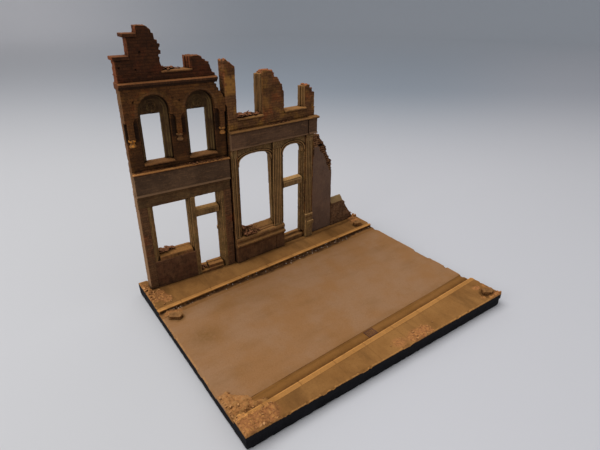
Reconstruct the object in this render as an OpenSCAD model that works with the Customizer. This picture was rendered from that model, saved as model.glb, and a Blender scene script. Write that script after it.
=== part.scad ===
// Miniature terrain ruin: two shop fronts with broken upper walls on a street base, for tabletop games.
// Scale of the scene is 1:35. Every wall member, moulding and stone is a solid of its own.
// Facade coordinates: s runs along a front to the right, depth runs back from it, height starts at the pavement.

/* [Base] */
// Length of the base along the street
base_length = 260; // [240:1:280]
// Depth of the base across the street
base_depth = 200; // [190:1:215]
// Thickness of the black display board
board_thickness = 7; // [5:0.5:8]
// Height of the road surface above the underside
road_top = 9.2; // [8.6:0.1:9.6]
// Height of the far pavement above the underside
pavement_top = 12; // [11:0.1:13]
// Height of the near pavement above the underside
near_pavement_top = 12.4; // [11:0.1:13]

/* [Street] */
// Far kerb line at the left edge of the base, from the base centre
far_kerb_left = 48.2; // [44:0.1:50]
// Far kerb line at the right edge of the base, from the base centre
far_kerb_right = 69; // [64:0.1:70]
// Near kerb line at the left edge of the base, from the base centre
near_kerb_left = -84.3; // [-87:0.1:-80]
// Near kerb line at the right edge of the base, from the base centre
near_kerb_right = -67.8; // [-72:0.1:-64]
// Width of the far kerb stones
far_kerb_width = 3.6; // [3:0.1:5]
// Width of the near kerb stones
near_kerb_width = 4.6; // [3:0.1:6]
// Width of the far gutter
far_gutter_width = 8; // [6:0.5:9]
// Width of the near gutter
near_gutter_width = 11; // [9:0.5:12]

/* [Left house] */
// Width of the left house
left_width = 83.2; // [82:0.1:83.4]
// Turn of the left front about the vertical
left_turn = -1; // [-1.2:0.1:-0.6]
// Thickness of the left house's walls
left_wall = 9.5; // [9:0.1:10]
// Depth of the brick arcade layer that stands in front of the upper wall
arcade_depth = 2.4; // [2:0.1:2.8]
// Radius of the two window arches
niche_radius = 12.5; // [12:0.1:12.8]
// Height of the springing of the window arches above the pavement
niche_spring = 155.7; // [155:0.1:156.5]

/* [Right house] */
// Width of the right house
right_width = 98; // [97.5:0.1:98.2]
// Turn of the right front about the vertical, in line with the kerb
right_turn = 4.65; // [4.3:0.05:4.8]
// Depth of the back of the right house's walls behind its plinth line
right_back = 11; // [10.5:0.1:11.2]
// Depth of the wall face behind the plinth line
right_face = 2.2; // [2:0.1:2.6]

/* [Masonry] */
// Height of one brick course
course = 2.2; // [2:0.1:2.4]

/* [Hidden] */

half_length = base_length / 2;
half_depth = base_depth / 2;

left_origin = [-123.6, 82.3];
right_origin = [-38.65, 78.2];

// heights above the pavement, left house
stall_top = 26;
shop_sill_top = 32;
opening_head = 78.8;
fascia_foot = 89;
fascia_head = 107.4;
ledge_top = 109;
window_sill_top = 115.6;
window_head = 153;
corbel_foot = 129;
corbel_head = 136;
cornice_foot = 173.8;
cornice_top = 178.4;
gable_window_foot = 185.2;

// positions along the left front
post_left = 44.4;
post_right = 48.6;
jamb_left = 71;
pier_left = 76.2;
niche_centres = [23.4, 61.2];
corbel_centres = [4.1, 42.3, 79.9];
pendant_half_width = 2.2;
window_half_width = 8;
window_shift = -1.2;

// heights above the pavement, right house
plinth_top = 16.4;
right_sill_top = 26.6;
window_rail_top = 33.4;
arch_spring = 99;
arch_crown = 107.4;
right_fascia_foot = 114.5;
right_fascia_head = 129.2;
right_ledge_top = 131;
upper_sill_top = 141.2;

// positions along the right front
shop_left = 9.4;
shop_right = 44.4;
shop_lean = 2.2;
middle_pier = [48.8, 56];
door_left = 59.4;
door_right = 83.4;
door_jamb_right = 87;
gap_1 = [9.4, 32.6];
gap_2 = [60.6, 83];

$fn = 48;

// ---------- helpers ----------

// Height of the kerb line across the base, at a place along the street
function line_at(x, left, right) = left + (right - left) * (x + half_length) / base_length;

// A strip of ground between two lines that cross the base
module ground_strip(low_left, low_right, high_left, high_right, bottom, top) {
    translate([0, 0, bottom])
        linear_extrude(top - bottom)
            polygon([
                [-half_length, low_left], [half_length, low_right],
                [half_length, high_right], [-half_length, high_left]
            ]);
}

module on_left_front() {
    translate([left_origin.x, left_origin.y, pavement_top])
        rotate([0, 0, left_turn])
            children();
}

module on_right_front() {
    translate([right_origin.x, right_origin.y, pavement_top])
        rotate([0, 0, right_turn])
            children();
}

// A box between two places along a front, two depths and two heights
module bar(s, depth, height) {
    translate([s[0], depth[0], height[0]])
        cube([s[1] - s[0], depth[1] - depth[0], height[1] - height[0]]);
}

// A moulding: a profile of depths and heights, run along the front
module moulding(s, profile) {
    translate([s[0], 0, 0])
        rotate([90, 0, 90])
            linear_extrude(s[1] - s[0])
                polygon(profile);
}

// An upright moulding: a profile of places and depths, run upwards
module upright(height, profile) {
    translate([0, 0, height[0]])
        linear_extrude(height[1] - height[0])
            polygon(profile);
}

// A plate in the plane of the front: an outline of places and heights, between two depths
module plate(depth) {
    translate([0, depth[1], 0])
        rotate([90, 0, 0])
            linear_extrude(depth[1] - depth[0])
                children();
}

// Steps of broken brickwork between two points, one course high each
function brick_steps(from, to, courses, seed) =
    let (ends = rands(-0.45, 0.45, courses, seed))
    [for (i = [0 : courses - 1])
        let (
            a = i / courses,
            b = (i + 1) / courses,
            s = from[0] + (to[0] - from[0]) * (a + b) / 2 + ends[i] * course
        )
        each [
            [s, from[1] + (to[1] - from[1]) * a],
            [s, from[1] + (to[1] - from[1]) * b]
        ]
    ];

// The outline of a basket arch over an opening, whose right side leans outwards to its foot
function basket_arch(left, right, lean, foot, spring, crown, steps = 20) =
    let (half = (right - left) / 2, middle = (left + right) / 2)
    [
        [left, foot],
        for (i = [0 : steps])
            let (turn = 180 - 180 * i / steps, c = cos(turn), u = sin(turn))
            [middle + half * sign(c) * pow(abs(c), 0.84), spring + (crown - spring) * pow(u, 0.84)],
        [right + lean, foot]
    ];

// A round-headed opening in the plane of the front
module round_head(centre, radius, foot, spring) {
    translate([centre, spring])
        circle(radius);
    translate([centre - radius, foot])
        square([2 * radius, spring - foot]);
}

// One loose stone: a five-sided prism that lies flat
module stone(x, y, bottom, size, height, seed) {
    reach = rands(0.36, 0.56, 5, seed);
    translate([x, y, bottom])
        linear_extrude(height)
            polygon([for (i = [0 : 4]) size * reach[i] * [cos(72 * i + seed), sin(72 * i + seed)]]);
}

// ---------- base and street ----------

module base_board() {
    color([0.09, 0.09, 0.1])
        translate([-half_length, -half_depth, 0])
            cube([base_length, base_depth, board_thickness]);
}

module road_surface() {
    color([0.56, 0.42, 0.3])
        ground_strip(
            near_kerb_left + near_gutter_width, near_kerb_right + near_gutter_width,
            far_kerb_left - far_gutter_width, far_kerb_right - far_gutter_width,
            board_thickness, road_top
        );
}

grate_size = [9.6, 7.2];
grate_centre = [0, line_at(0, near_kerb_left, near_kerb_right) + 6.4];
street_turn = atan((near_kerb_right - near_kerb_left) / base_length);
gutter_drop = 0.3;
grate_pocket = 1.2;

module grate_place() {
    translate([grate_centre.x, grate_centre.y, road_top - gutter_drop - grate_pocket])
        rotate([0, 0, street_turn])
            children();
}

module near_gutter() {
    color([0.4, 0.28, 0.12])
        difference() {
            ground_strip(
                near_kerb_left, near_kerb_right,
                near_kerb_left + near_gutter_width, near_kerb_right + near_gutter_width,
                board_thickness, road_top - gutter_drop
            );
            grate_place()
                translate([-grate_size.x / 2, -grate_size.y / 2, 0])
                    cube([grate_size.x, grate_size.y, grate_pocket + 1]);
        }
}

module far_gutter() {
    color([0.42, 0.3, 0.2])
        ground_strip(
            far_kerb_left - far_gutter_width, far_kerb_right - far_gutter_width,
            far_kerb_left, far_kerb_right,
            board_thickness, road_top - gutter_drop
        );
}

// Cast grate with raised bars in a rim
module drain_grate() {
    rim = 0.8;
    bars = 6;
    pitch = (grate_size.x - 2 * rim) / bars;
    color([0.3, 0.2, 0.18])
        grate_place() {
            translate([-grate_size.x / 2, -grate_size.y / 2, 0])
                cube([grate_size.x, grate_size.y, 0.6]);
            difference() {
                translate([-grate_size.x / 2, -grate_size.y / 2, 0.6])
                    cube([grate_size.x, grate_size.y, 0.7]);
                for (i = [0 : bars - 1])
                    translate([-grate_size.x / 2 + rim + (i + 0.25) * pitch, -grate_size.y / 2 + rim, 0.6])
                        cube([pitch / 2, grate_size.y - 2 * rim, 2]);
            }
        }
}

module far_kerb() {
    color([0.62, 0.45, 0.26])
        ground_strip(
            far_kerb_left, far_kerb_right,
            far_kerb_left + far_kerb_width, far_kerb_right + far_kerb_width,
            board_thickness, pavement_top
        );
}

module far_pavement() {
    color([0.55, 0.4, 0.2])
        ground_strip(
            far_kerb_left + far_kerb_width, far_kerb_right + far_kerb_width,
            half_depth, half_depth,
            board_thickness, pavement_top
        );
}

module near_kerb() {
    color([0.62, 0.45, 0.26])
        ground_strip(
            near_kerb_left - near_kerb_width, near_kerb_right - near_kerb_width,
            near_kerb_left, near_kerb_right,
            board_thickness, near_pavement_top
        );
}

module near_pavement() {
    color([0.55, 0.4, 0.2])
        ground_strip(
            -half_depth, -half_depth,
            near_kerb_left - near_kerb_width, near_kerb_right - near_kerb_width,
            board_thickness, near_pavement_top
        );
}

// ---------- left house, ground floor ----------

module left_end_pier() {
    color([0.3, 0.18, 0.13])
        on_left_front()
            bar([0, 7], [0, left_wall], [0, opening_head]);
}

module left_stall_wall() {
    color([0.28, 0.17, 0.12])
        on_left_front()
            bar([7, post_left], [0, left_wall], [0, stall_top]);
}

// Sloped sill under the shop window
module left_shop_sill() {
    color([0.42, 0.3, 0.19])
        on_left_front()
            moulding([12, post_left - 2], [
                [0.6, stall_top], [0.6, stall_top + 2.6], [1.2, stall_top + 3.4],
                [6.6, shop_sill_top - 0.6], [6.6, shop_sill_top],
                [left_wall, shop_sill_top], [left_wall, stall_top]
            ]);
}

// Moulded jambs and head of the shop window
module left_shop_frame() {
    color([0.34, 0.24, 0.14])
        on_left_front() {
            upright([stall_top, opening_head], [
                [7, 0.8], [9.4, 0.8], [9.4, 1.8], [10.6, 1.8], [10.6, 2.8], [12, 2.8], [12, 7.4], [7, 7.4]
            ]);
            upright([stall_top, opening_head], [
                [post_left, 2.2], [post_left - 0.9, 2.2], [post_left - 0.9, 3.4],
                [post_left - 2, 3.4], [post_left - 2, 7.4], [post_left, 7.4]
            ]);
            bar([12, post_left - 2], [2.8, 7.4], [opening_head - 1.4, opening_head]);
        }
}

module left_door_post() {
    color([0.33, 0.22, 0.14])
        on_left_front()
            upright([0, opening_head], [
                [post_left, 0.4], [post_left + 0.5, 0], [post_right - 0.5, 0], [post_right, 0.4],
                [post_right, 8.2], [post_left, 8.2]
            ]);
}

// Deep bar between the doorway and the light above it
module left_transom() {
    color([0.4, 0.27, 0.16])
        on_left_front()
            moulding([post_right, jamb_left], [
                [1.2, 59.6], [1.2, 64.2], [2, 65], [2, 65.4], [7.6, 66.2], [7.6, 58.8], [2, 58.8]
            ]);
}

// Stepped jamb on the right of the doorway
module left_door_jamb() {
    color([0.36, 0.26, 0.15])
        on_left_front()
            upright([0, opening_head], [
                [pier_left, 0.6], [pier_left - 2.6, 0.6], [pier_left - 2.6, 2],
                [pier_left - 3.6, 2], [pier_left - 3.6, 3.6], [pier_left - 4.4, 3.6],
                [pier_left - 4.4, 5.2], [jamb_left, 5.2], [jamb_left, 8], [pier_left, 8]
            ]);
}

// Small keep for a latch, halfway up the door jamb
module left_latch_keep() {
    color([0.3, 0.2, 0.12])
        on_left_front()
            bar([jamb_left - 1, jamb_left], [5.8, 7.4], [39, 42.4]);
}

// Threshold, broken down at its left end
module left_door_step() {
    broken_end = 56.4;
    color([0.48, 0.34, 0.18])
        on_left_front() {
            moulding([post_right, broken_end], [
                [0, 0], [0, 2.2], [0.8, 2.4], [4, 3.2], [8, 3.2], [8, 0]
            ]);
            moulding([broken_end, jamb_left], [
                [0, 0], [0, 2.8], [0.8, 2.8], [0.8, 6.2], [4.6, 6.8], [4.6, 7.6], [8, 7.6], [8, 0]
            ]);
        }
}

module left_door_pier() {
    color([0.32, 0.19, 0.14])
        on_left_front()
            bar([pier_left, left_width], [0, left_wall], [0, opening_head]);
}

module left_lintel_band() {
    color([0.32, 0.22, 0.14])
        on_left_front()
            moulding([0, left_width], [
                [0.5, opening_head], [0.5, 86.4], [0, 86.8], [0, fascia_foot],
                [left_wall, fascia_foot], [left_wall, opening_head]
            ]);
}

// ---------- left house, front boards and upper floor ----------

module left_fascia_board() {
    color([0.26, 0.2, 0.15])
        on_left_front()
            moulding([0, left_width], [
                [0, fascia_foot], [-1.9, fascia_foot], [-1.9, fascia_foot + 0.9], [-1.1, fascia_foot + 1.2],
                [-1.1, fascia_head], [0, fascia_head]
            ]);
}

module left_fascia_ledge() {
    color([0.5, 0.34, 0.2])
        on_left_front()
            moulding([-0.6, left_width + 0.3], [
                [0, fascia_head], [-1.8, fascia_head], [-3, fascia_head + 0.7], [-3, ledge_top - 0.3],
                [0, ledge_top]
            ]);
}

// Outline of the upper floor, with its top right corner broken away
upper_outline = concat(
    [[0, fascia_foot], [0, cornice_foot], [77, cornice_foot]],
    brick_steps([76.4, cornice_foot - 0.2], [75.8, 169.6], 2, 3),
    brick_steps([78.6, 168], [left_width - 0.6, 161.4], 3, 8),
    [[left_width, 160], [left_width, fascia_foot]]
);

module left_upper_wall() {
    color([0.3, 0.18, 0.12])
        on_left_front() {
            plate([arcade_depth, left_wall])
                difference() {
                    polygon(upper_outline);
                    for (centre = niche_centres)
                        round_head(centre, niche_radius, window_sill_top - 2, niche_spring);
                }
            bar([0, left_width], [0, arcade_depth], [fascia_foot, ledge_top]);
        }
}

// Brick layer in front of the upper wall: two round arches on hanging piers
module left_arcade() {
    shoulder = (corbel_centres[1] - corbel_centres[0]) / 2 - pendant_half_width;
    color([0.34, 0.2, 0.13])
        on_left_front()
            plate([0, arcade_depth])
                difference() {
                    intersection() {
                        polygon(upper_outline);
                        translate([0, corbel_head])
                            square([left_width, 100]);
                    }
                    for (centre = niche_centres) {
                        round_head(centre, niche_radius, 100, niche_spring);
                        translate([centre - shoulder, 100])
                            square([2 * shoulder, 148 - 100]);
                        for (side = [-1, 1])
                            translate([centre + side * (shoulder - 4.4), 148])
                                circle(4.4);
                    }
                    translate([-5, 100])
                        square([corbel_centres[0] - pendant_half_width + 5, 49]);
                    translate([corbel_centres[2] + pendant_half_width, 100])
                        square([5, 49]);
                }
}

// Moulded frame in a niche: stepped rings round a panel with a square-headed window
module left_window_frame(centre) {
    foot = window_sill_top;
    on_left_front() {
        plate([4, left_wall])
            difference() {
                round_head(centre, niche_radius, foot, niche_spring);
                round_head(centre, niche_radius - 1.5, foot - 1, niche_spring);
            }
        plate([5.4, left_wall])
            difference() {
                round_head(centre, niche_radius - 1.5, foot, niche_spring);
                round_head(centre, niche_radius - 3, foot - 1, niche_spring);
            }
        plate([6.6, left_wall])
            difference() {
                round_head(centre, niche_radius - 3, foot, niche_spring);
                translate([centre + window_shift - window_half_width, foot - 1])
                    square([2 * window_half_width, window_head - foot + 1]);
            }
        translate([centre, 6.6, niche_spring + 1.6])
            rotate([90, 0, 0])
                cylinder(h = 0.8, r = 3.4);
    }
}

module left_window_frame_1() {
    color([0.27, 0.22, 0.13])
        left_window_frame(niche_centres[0]);
}

module left_window_frame_2() {
    color([0.27, 0.22, 0.13])
        left_window_frame(niche_centres[1]);
}

module left_window_sill(centre) {
    on_left_front()
        moulding([centre - niche_radius, centre + niche_radius], [
            [arcade_depth, window_sill_top - 2], [0.6, window_sill_top - 2], [0.6, window_sill_top - 0.9],
            [arcade_depth, window_sill_top - 0.6], [6, window_sill_top], [left_wall, window_sill_top],
            [left_wall, window_sill_top - 2]
        ]);
}

module left_window_sill_1() {
    color([0.46, 0.31, 0.18])
        left_window_sill(niche_centres[0]);
}

module left_window_sill_2() {
    color([0.46, 0.31, 0.18])
        left_window_sill(niche_centres[1]);
}

// Turned drops under the three hanging piers, cut flat where they meet the wall
module left_corbels() {
    color([0.55, 0.36, 0.18])
        on_left_front()
            for (centre = corbel_centres)
                intersection() {
                    translate([centre, arcade_depth, corbel_foot])
                        rotate_extrude()
                            polygon([
                                [0, 0], [1.2, 0.2], [2.4, 1.2], [2.6, 2.4], [1.9, 3.2], [1.5, 4.2],
                                [2.2, 5.2], [2.7, 5.6], [2.7, 7], [0, 7]
                            ]);
                    translate([centre - 5, arcade_depth - 5, corbel_foot - 1])
                        cube([10, 5, 12]);
                }
}

module left_cornice() {
    color([0.48, 0.31, 0.19])
        on_left_front()
            moulding([-0.9, 77], [
                [left_wall, cornice_foot], [-1, cornice_foot], [-1.6, cornice_foot + 1.2],
                [-3, cornice_foot + 2], [-3.4, cornice_foot + 3.8], [-1, cornice_top], [left_wall, cornice_top]
            ]);
}

// ---------- left house, gable ----------

gable_face = 0.4;

module left_gable_stack() {
    color([0.3, 0.17, 0.12])
        on_left_front()
            plate([gable_face, left_wall])
                polygon(concat(
                    [
                        [0, gable_window_foot - 1.6], [0, 194.2], [10.4, 194.2], [10.4, 209.2],
                        [17.8, 209.2], [17.8, 216.6], [25.4, 216.4], [27, 214.6]
                    ],
                    brick_steps([27.4, 213.2], [32.4, 206.8], 3, 21),
                    brick_steps([33.4, 206.4], [33.2, gable_window_foot], 9, 5),
                    [[33, gable_window_foot - 1.6]]
                ));
}

module left_gable_parapet() {
    color([0.3, 0.17, 0.12])
        on_left_front()
            plate([gable_face, left_wall])
                polygon(concat(
                    [[0, cornice_top], [0, gable_window_foot - 1.6], [34.6, gable_window_foot - 1.6]],
                    [[72.8, gable_window_foot - 1.6]],
                    brick_steps([73.2, gable_window_foot - 1.8], [76, cornice_top], 2, 12)
                ));
}

module left_gable_pier() {
    color([0.32, 0.19, 0.13])
        on_left_front() {
            plate([gable_face, left_wall])
                polygon(concat(
                    [[57.4, gable_window_foot - 1.6], [57.4, 194.4], [63, 194.2]],
                    brick_steps([64.4, 193.2], [72, 187.2], 3, 33),
                    [[72.6, 186.8], [72.8, gable_window_foot - 1.6]]
                ));
            upright([gable_window_foot, 194.2], [
                [57.4, 1], [56, 1], [56, 3], [54.8, 3], [54.8, 5.4], [53.4, 5.4], [53.4, 9], [57.4, 9]
            ]);
        }
}

// Thin stone slabs on the stepped gable
module left_gable_copings() {
    color([0.5, 0.32, 0.2])
        on_left_front() {
            bar([-1.6, 10.4], [-0.9, left_wall + 0.6], [194.2, 196.6]);
            bar([7.4, 17.8], [-0.9, left_wall + 0.6], [209.2, 211.6]);
        }
}

// Ledge that runs under the gable window
module left_gable_window_sill() {
    color([0.5, 0.34, 0.2])
        on_left_front()
            moulding([33, 57.4], [
                [-0.6, gable_window_foot - 1.6], [-0.6, gable_window_foot - 0.4],
                [gable_face + 2, gable_window_foot], [left_wall, gable_window_foot],
                [left_wall, gable_window_foot - 1.6]
            ]);
}

// ---------- right house, ground floor ----------

// Riser under the shop window, with a sunk panel and a block at its right end
module right_stall() {
    color([0.3, 0.21, 0.16])
        on_right_front()
            difference() {
                bar([0.2, 58], [0, right_back], [0, plinth_top]);
                bar([9, 47.6], [-1, 0.8], [-1, plinth_top - 1.6]);
                bar([47.6, 48.4], [-1, 1.4], [-1, plinth_top + 1]);
            }
}

// Two moulded ledges on the riser
module right_stall_ledges() {
    color([0.48, 0.34, 0.2])
        on_right_front()
            moulding([0.2, 58.4], [
                [0, plinth_top], [-1, plinth_top + 0.6], [-1.8, plinth_top + 1.6], [-1.8, plinth_top + 3],
                [0.2, plinth_top + 3.8], [0.2, plinth_top + 5.6], [-0.6, plinth_top + 6.6],
                [-0.6, plinth_top + 8.6], [0.4, right_sill_top - 0.6], [right_face, right_sill_top],
                [right_back, right_sill_top], [right_back, plinth_top]
            ]);
}

module right_party_pier() {
    color([0.34, 0.21, 0.14])
        on_right_front()
            bar([0.2, shop_left - 1.6], [right_face, right_back], [right_sill_top, right_fascia_foot]);
}

module right_middle_pier() {
    color([0.36, 0.25, 0.16])
        on_right_front()
            bar(middle_pier, [right_face, right_back], [right_sill_top, right_fascia_foot]);
}

module right_end_pier() {
    color([0.34, 0.23, 0.16])
        on_right_front()
            bar([door_jamb_right, right_width], [right_face, right_back], [0, right_fascia_foot]);
}

// Bottom rail of the shop window, sloped to the front
module right_shop_sill() {
    color([0.44, 0.31, 0.18])
        on_right_front()
            moulding([shop_left, shop_right + 1.9], [
                [right_face, right_sill_top], [right_face, right_sill_top + 0.8],
                [3.6, right_sill_top + 1.6], [3.6, right_sill_top + 2.4], [8.6, window_rail_top],
                [8.6, right_sill_top]
            ]);
}

// Frame in an opening with a basket-arched head: two slim jambs and the spandrels above
module arch_frame(outer, inner, foot, depth, lean = 0) {
    plate(depth)
        difference() {
            translate([outer[0], foot])
                square([outer[1] - outer[0], right_fascia_foot - foot]);
            polygon(basket_arch(inner[0], inner[1], lean, foot - 1, arch_spring, arch_crown));
        }
}

module right_shop_arch() {
    color([0.36, 0.26, 0.15])
        on_right_front() {
            arch_frame([shop_left - 1.6, middle_pier[0]], [shop_left, shop_right], right_sill_top,
                [4.4, 8.6], shop_lean);
            arch_frame([shop_left - 1.6, middle_pier[0]], [shop_left - 0.5, shop_right + 0.5],
                arch_spring - 2, [3, 4.4]);
        }
}

module right_door_arch() {
    color([0.36, 0.26, 0.15])
        on_right_front() {
            arch_frame([middle_pier[1], door_jamb_right], [door_left, door_right], arch_spring - 2,
                [4.4, 8.6]);
            arch_frame([middle_pier[1], door_jamb_right], [door_left - 0.5, door_right + 1],
                arch_spring - 2, [3, 4.4]);
        }
}

module right_transom() {
    color([0.46, 0.32, 0.18])
        on_right_front()
            moulding([door_left, door_right], [
                [2, 64.8], [2, 69.2], [3, 70.2], [3, 71], [9, 72], [9, 64], [3, 64]
            ]);
}

// Stepped jamb on the right of the doorway, and the plain one on its left
module right_door_jamb() {
    color([0.34, 0.25, 0.15])
        on_right_front() {
            upright([7.8, arch_spring - 2], [
                [door_jamb_right, 3], [door_jamb_right - 1.2, 3], [door_jamb_right - 1.2, 4.6],
                [door_jamb_right - 2.4, 4.6], [door_jamb_right - 2.4, 6.2],
                [door_right, 6.2], [door_right, 9.4], [door_jamb_right, 9.4]
            ]);
            bar([middle_pier[1], door_left], [3, 8.6], [right_sill_top, arch_spring - 2]);
        }
}

module right_door_step() {
    color([0.5, 0.36, 0.2])
        on_right_front()
            moulding([58, door_jamb_right], [
                [4.2, 0], [4.2, 4], [5, 4.6], [7.4, 4.8], [7.4, 7.4], [8.2, 7.8], [right_back, 7.8],
                [right_back, 0]
            ]);
}

// Flat pilasters on the party pier, the middle pier and the end pier
module right_pilasters() {
    color([0.4, 0.27, 0.17])
        on_right_front() {
            upright([right_sill_top, right_fascia_foot], [
                [0.6, right_face], [0.6, 1], [2, 1], [2, 1.6], [3, 1.6], [3, 1], [5.8, 1], [5.8, right_face]
            ]);
            upright([right_sill_top, right_fascia_foot], [
                [46, right_face], [46, 1], [47.4, 1], [47.4, 1.6], [48.4, 1.6], [48.4, 1],
                [55.4, 1], [55.4, right_face]
            ]);
            upright([27.4, right_fascia_foot], [
                [87.6, right_face], [87.6, 1], [95.6, 1], [95.6, right_face]
            ]);
            bar([45.8, 55.8], [0.2, 1], [right_fascia_foot - 7, right_fascia_foot]);
            bar([87.2, 96], [0.2, 1], [right_fascia_foot - 3, right_fascia_foot]);
        }
}

// Block at the foot of the right pilaster, with two small caps
module right_pilaster_plinth() {
    color([0.42, 0.29, 0.19])
        on_right_front() {
            bar([87, 97], [0.4, right_face], [0, 27.4]);
            moulding([86.4, 96.4], [
                [0.4, 23.4], [-0.4, 24.4], [-0.4, 26.6], [0.4, 27.4]
            ]);
            bar([88.6, 98], [-0.5, 0.4], [14.6, 18.6]);
        }
}

// ---------- right house, fascia and upper floor ----------

module right_entablature_wall() {
    color([0.32, 0.22, 0.16])
        on_right_front()
            bar([0.2, right_width], [right_face, right_back], [right_fascia_foot, right_ledge_top]);
}

module right_fascia_board() {
    color([0.33, 0.25, 0.2])
        on_right_front() {
            moulding([0.2, 88.2], [
                [right_face, right_fascia_foot], [-1, right_fascia_foot], [-1, right_fascia_foot + 1],
                [-0.2, right_fascia_foot + 1.6], [-0.2, right_fascia_head - 1.2], [-0.8, right_fascia_head],
                [right_face, right_fascia_head]
            ]);
            moulding([89, 99.4], [
                [right_face, right_fascia_foot], [-1.8, right_fascia_foot],
                [-1.8, right_fascia_foot + 1], [-1, right_fascia_foot + 1.6],
                [-1, right_fascia_head], [right_face, right_fascia_head]
            ]);
        }
}

module right_entablature_ledge() {
    color([0.52, 0.37, 0.23])
        on_right_front() {
            moulding([-0.2, 88.6], [
                [right_face, right_fascia_head], [-1, right_fascia_head], [-2.6, right_fascia_head + 0.7],
                [-2.6, right_ledge_top - 0.3], [right_face, right_ledge_top]
            ]);
            moulding([88.6, 100.4], [
                [right_face, right_fascia_head], [-1.8, right_fascia_head], [-3.4, right_fascia_head + 0.7],
                [-3.4, right_ledge_top + 0.3], [right_face, right_ledge_top + 0.9]
            ]);
        }
}

// Low wall under the upper windows
module right_parapet() {
    color([0.34, 0.22, 0.15])
        on_right_front() {
            bar([0.2, gap_1[0]], [right_face, right_back], [right_ledge_top, upper_sill_top]);
            bar([gap_1[0], right_width], [right_face, right_back], [right_ledge_top, upper_sill_top - 1.8]);
        }
}

// Broken piers between the upper windows
module right_upper_piers() {
    color([0.36, 0.22, 0.15])
        on_right_front()
            plate([right_face, right_back]) {
                polygon([
                    [0.2, upper_sill_top], [0.2, 152], [-1.2, 155], [-1.2, 189.2], [0.4, 190.4],
                    [5.4, 187], [gap_1[0], 184.2], [gap_1[0], upper_sill_top]
                ]);
                polygon(concat(
                    [[36.4, upper_sill_top - 1.8], [36.4, 176.4], [39.4, 178.6], [44.6, 178.2]],
                    brick_steps([46.4, 177.6], [50.4, 172.8], 2, 14),
                    brick_steps([54.6, 169.6], [60.2, 160], 4, 19),
                    [[gap_2[0], 158], [gap_2[0], upper_sill_top - 1.8]]
                ));
                polygon(concat(
                    [[86.6, upper_sill_top - 1.8], [86.6, 160.6], [89.4, 161.4]],
                    brick_steps([90.6, 160.6], [94.6, 155], 2, 27),
                    [[97.6, 153.6], [97.6, upper_sill_top - 1.8]]
                ));
            }
}

// Stepped jambs left standing at the right of each upper window
module right_window_jambs() {
    color([0.5, 0.35, 0.2])
        on_right_front()
            for (jamb = [[gap_1[1], 36.4, 176], [gap_2[1], 86.6, 160.4]])
                upright([upper_sill_top, jamb[2]], [
                    [jamb[1], 3], [jamb[1] - 1.2, 3], [jamb[1] - 1.2, 4.8], [jamb[1] - 2.4, 4.8],
                    [jamb[1] - 2.4, 6.8], [jamb[0], 6.8], [jamb[0], 10], [jamb[1], 10]
                ]);
}

module right_window_sills() {
    color([0.5, 0.35, 0.2])
        on_right_front()
            for (gap = [[gap_1[0], 36.4], [gap_2[0], 86.6]])
                moulding(gap, [
                    [right_face, upper_sill_top - 1.8], [0.4, upper_sill_top - 1.8],
                    [0.4, upper_sill_top - 0.4], [right_face, upper_sill_top],
                    [right_back, upper_sill_top], [right_back, upper_sill_top - 1.8]
                ]);
}

// ---------- walls beside the right house ----------

side_wall_depth = [5, 10.6];
side_wall_end = 127;

// The side wall's right edge leans outwards to its foot
function side_wall_edge(height) = side_wall_end + 1.6 * (1 - height / 78.6);

module side_wall() {
    color([0.3, 0.22, 0.19])
        on_right_front()
            plate(side_wall_depth)
                polygon(concat(
                    [[98.4, 0], [98.4, 110.4], [102, 110.8], [105.6, 110]],
                    brick_steps([107.4, 109.6], [114.4, 99.4], 5, 41),
                    brick_steps([115.2, 99.2], [123.4, 81.6], 8, 17),
                    [[side_wall_edge(78.6), 78.6], [side_wall_edge(0), 0]]
                ));
}

module low_wall() {
    body_top = 26.6;
    color([0.34, 0.24, 0.17])
        on_right_front() {
            plate([4, 8.2])
                polygon([
                    [side_wall_edge(0), 0], [side_wall_edge(body_top), body_top], [145.4, body_top],
                    [148.4, 25.6], [151.2, 19.4], [155.3, 13.7], [158.6, 9], [162.4, 3.8], [163.6, 0]
                ]);
            moulding([side_wall_edge(body_top), 145.4], [
                [3.4, body_top], [3.4, 27.8], [7.8, 33], [9, 33], [9, body_top]
            ]);
        }
}

// ---------- rubble and loose stones ----------

// A patch of stones that lie flat inside an ellipse, at one ground level
module rubble_patch(centre, reach, bottom, count, size, height, seed) {
    across = rands(-1, 1, count, seed);
    along = rands(-1, 1, count, seed + 1);
    scale_by = rands(0.6, 1.3, count, seed + 2);
    for (i = [0 : count - 1])
        stone(
            centre.x + reach.x * across[i],
            centre.y + reach.y * along[i] * sqrt(1 - across[i] * across[i]),
            bottom, size * scale_by[i], height * scale_by[i], seed + 7 * i
        );
}

module street_rubble() {
    color([0.5, 0.33, 0.2]) {
        rubble_patch([-112, -92.4], [14, 5], near_pavement_top, 16, 6, 1.5, 11);
        rubble_patch([-122, -78.4], [4, 2.6], road_top - gutter_drop, 8, 3.8, 2, 29);
        rubble_patch([-123.4, -67.6], [3.4, 2.6], road_top, 7, 4, 1.6, 31);
        rubble_patch([22, -93.6], [20, 3.4], near_pavement_top, 20, 5.4, 1.1, 43);
        rubble_patch([109.4, -95.6], [2.2, 2], near_pavement_top, 5, 2.8, 1, 57);
        rubble_patch([117, -82.6], [4, 2], near_pavement_top, 6, 3.4, 0.9, 61);
        rubble_patch([127.2, -88], [0.8, 6], near_pavement_top, 7, 2.6, 1.3, 65);
        rubble_patch([-120.6, 66], [5.4, 9], pavement_top, 14, 5.6, 1.5, 71);
        rubble_patch([-127.2, 88], [1, 7.6], pavement_top, 8, 2.8, 2.2, 79);
        rubble_patch([119, 86.4], [6.6, 3.4], pavement_top, 9, 4, 1.8, 83);
        rubble_patch([125.6, 93.6], [2, 3.4], pavement_top, 5, 3, 1.6, 89);
    }
}

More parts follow.
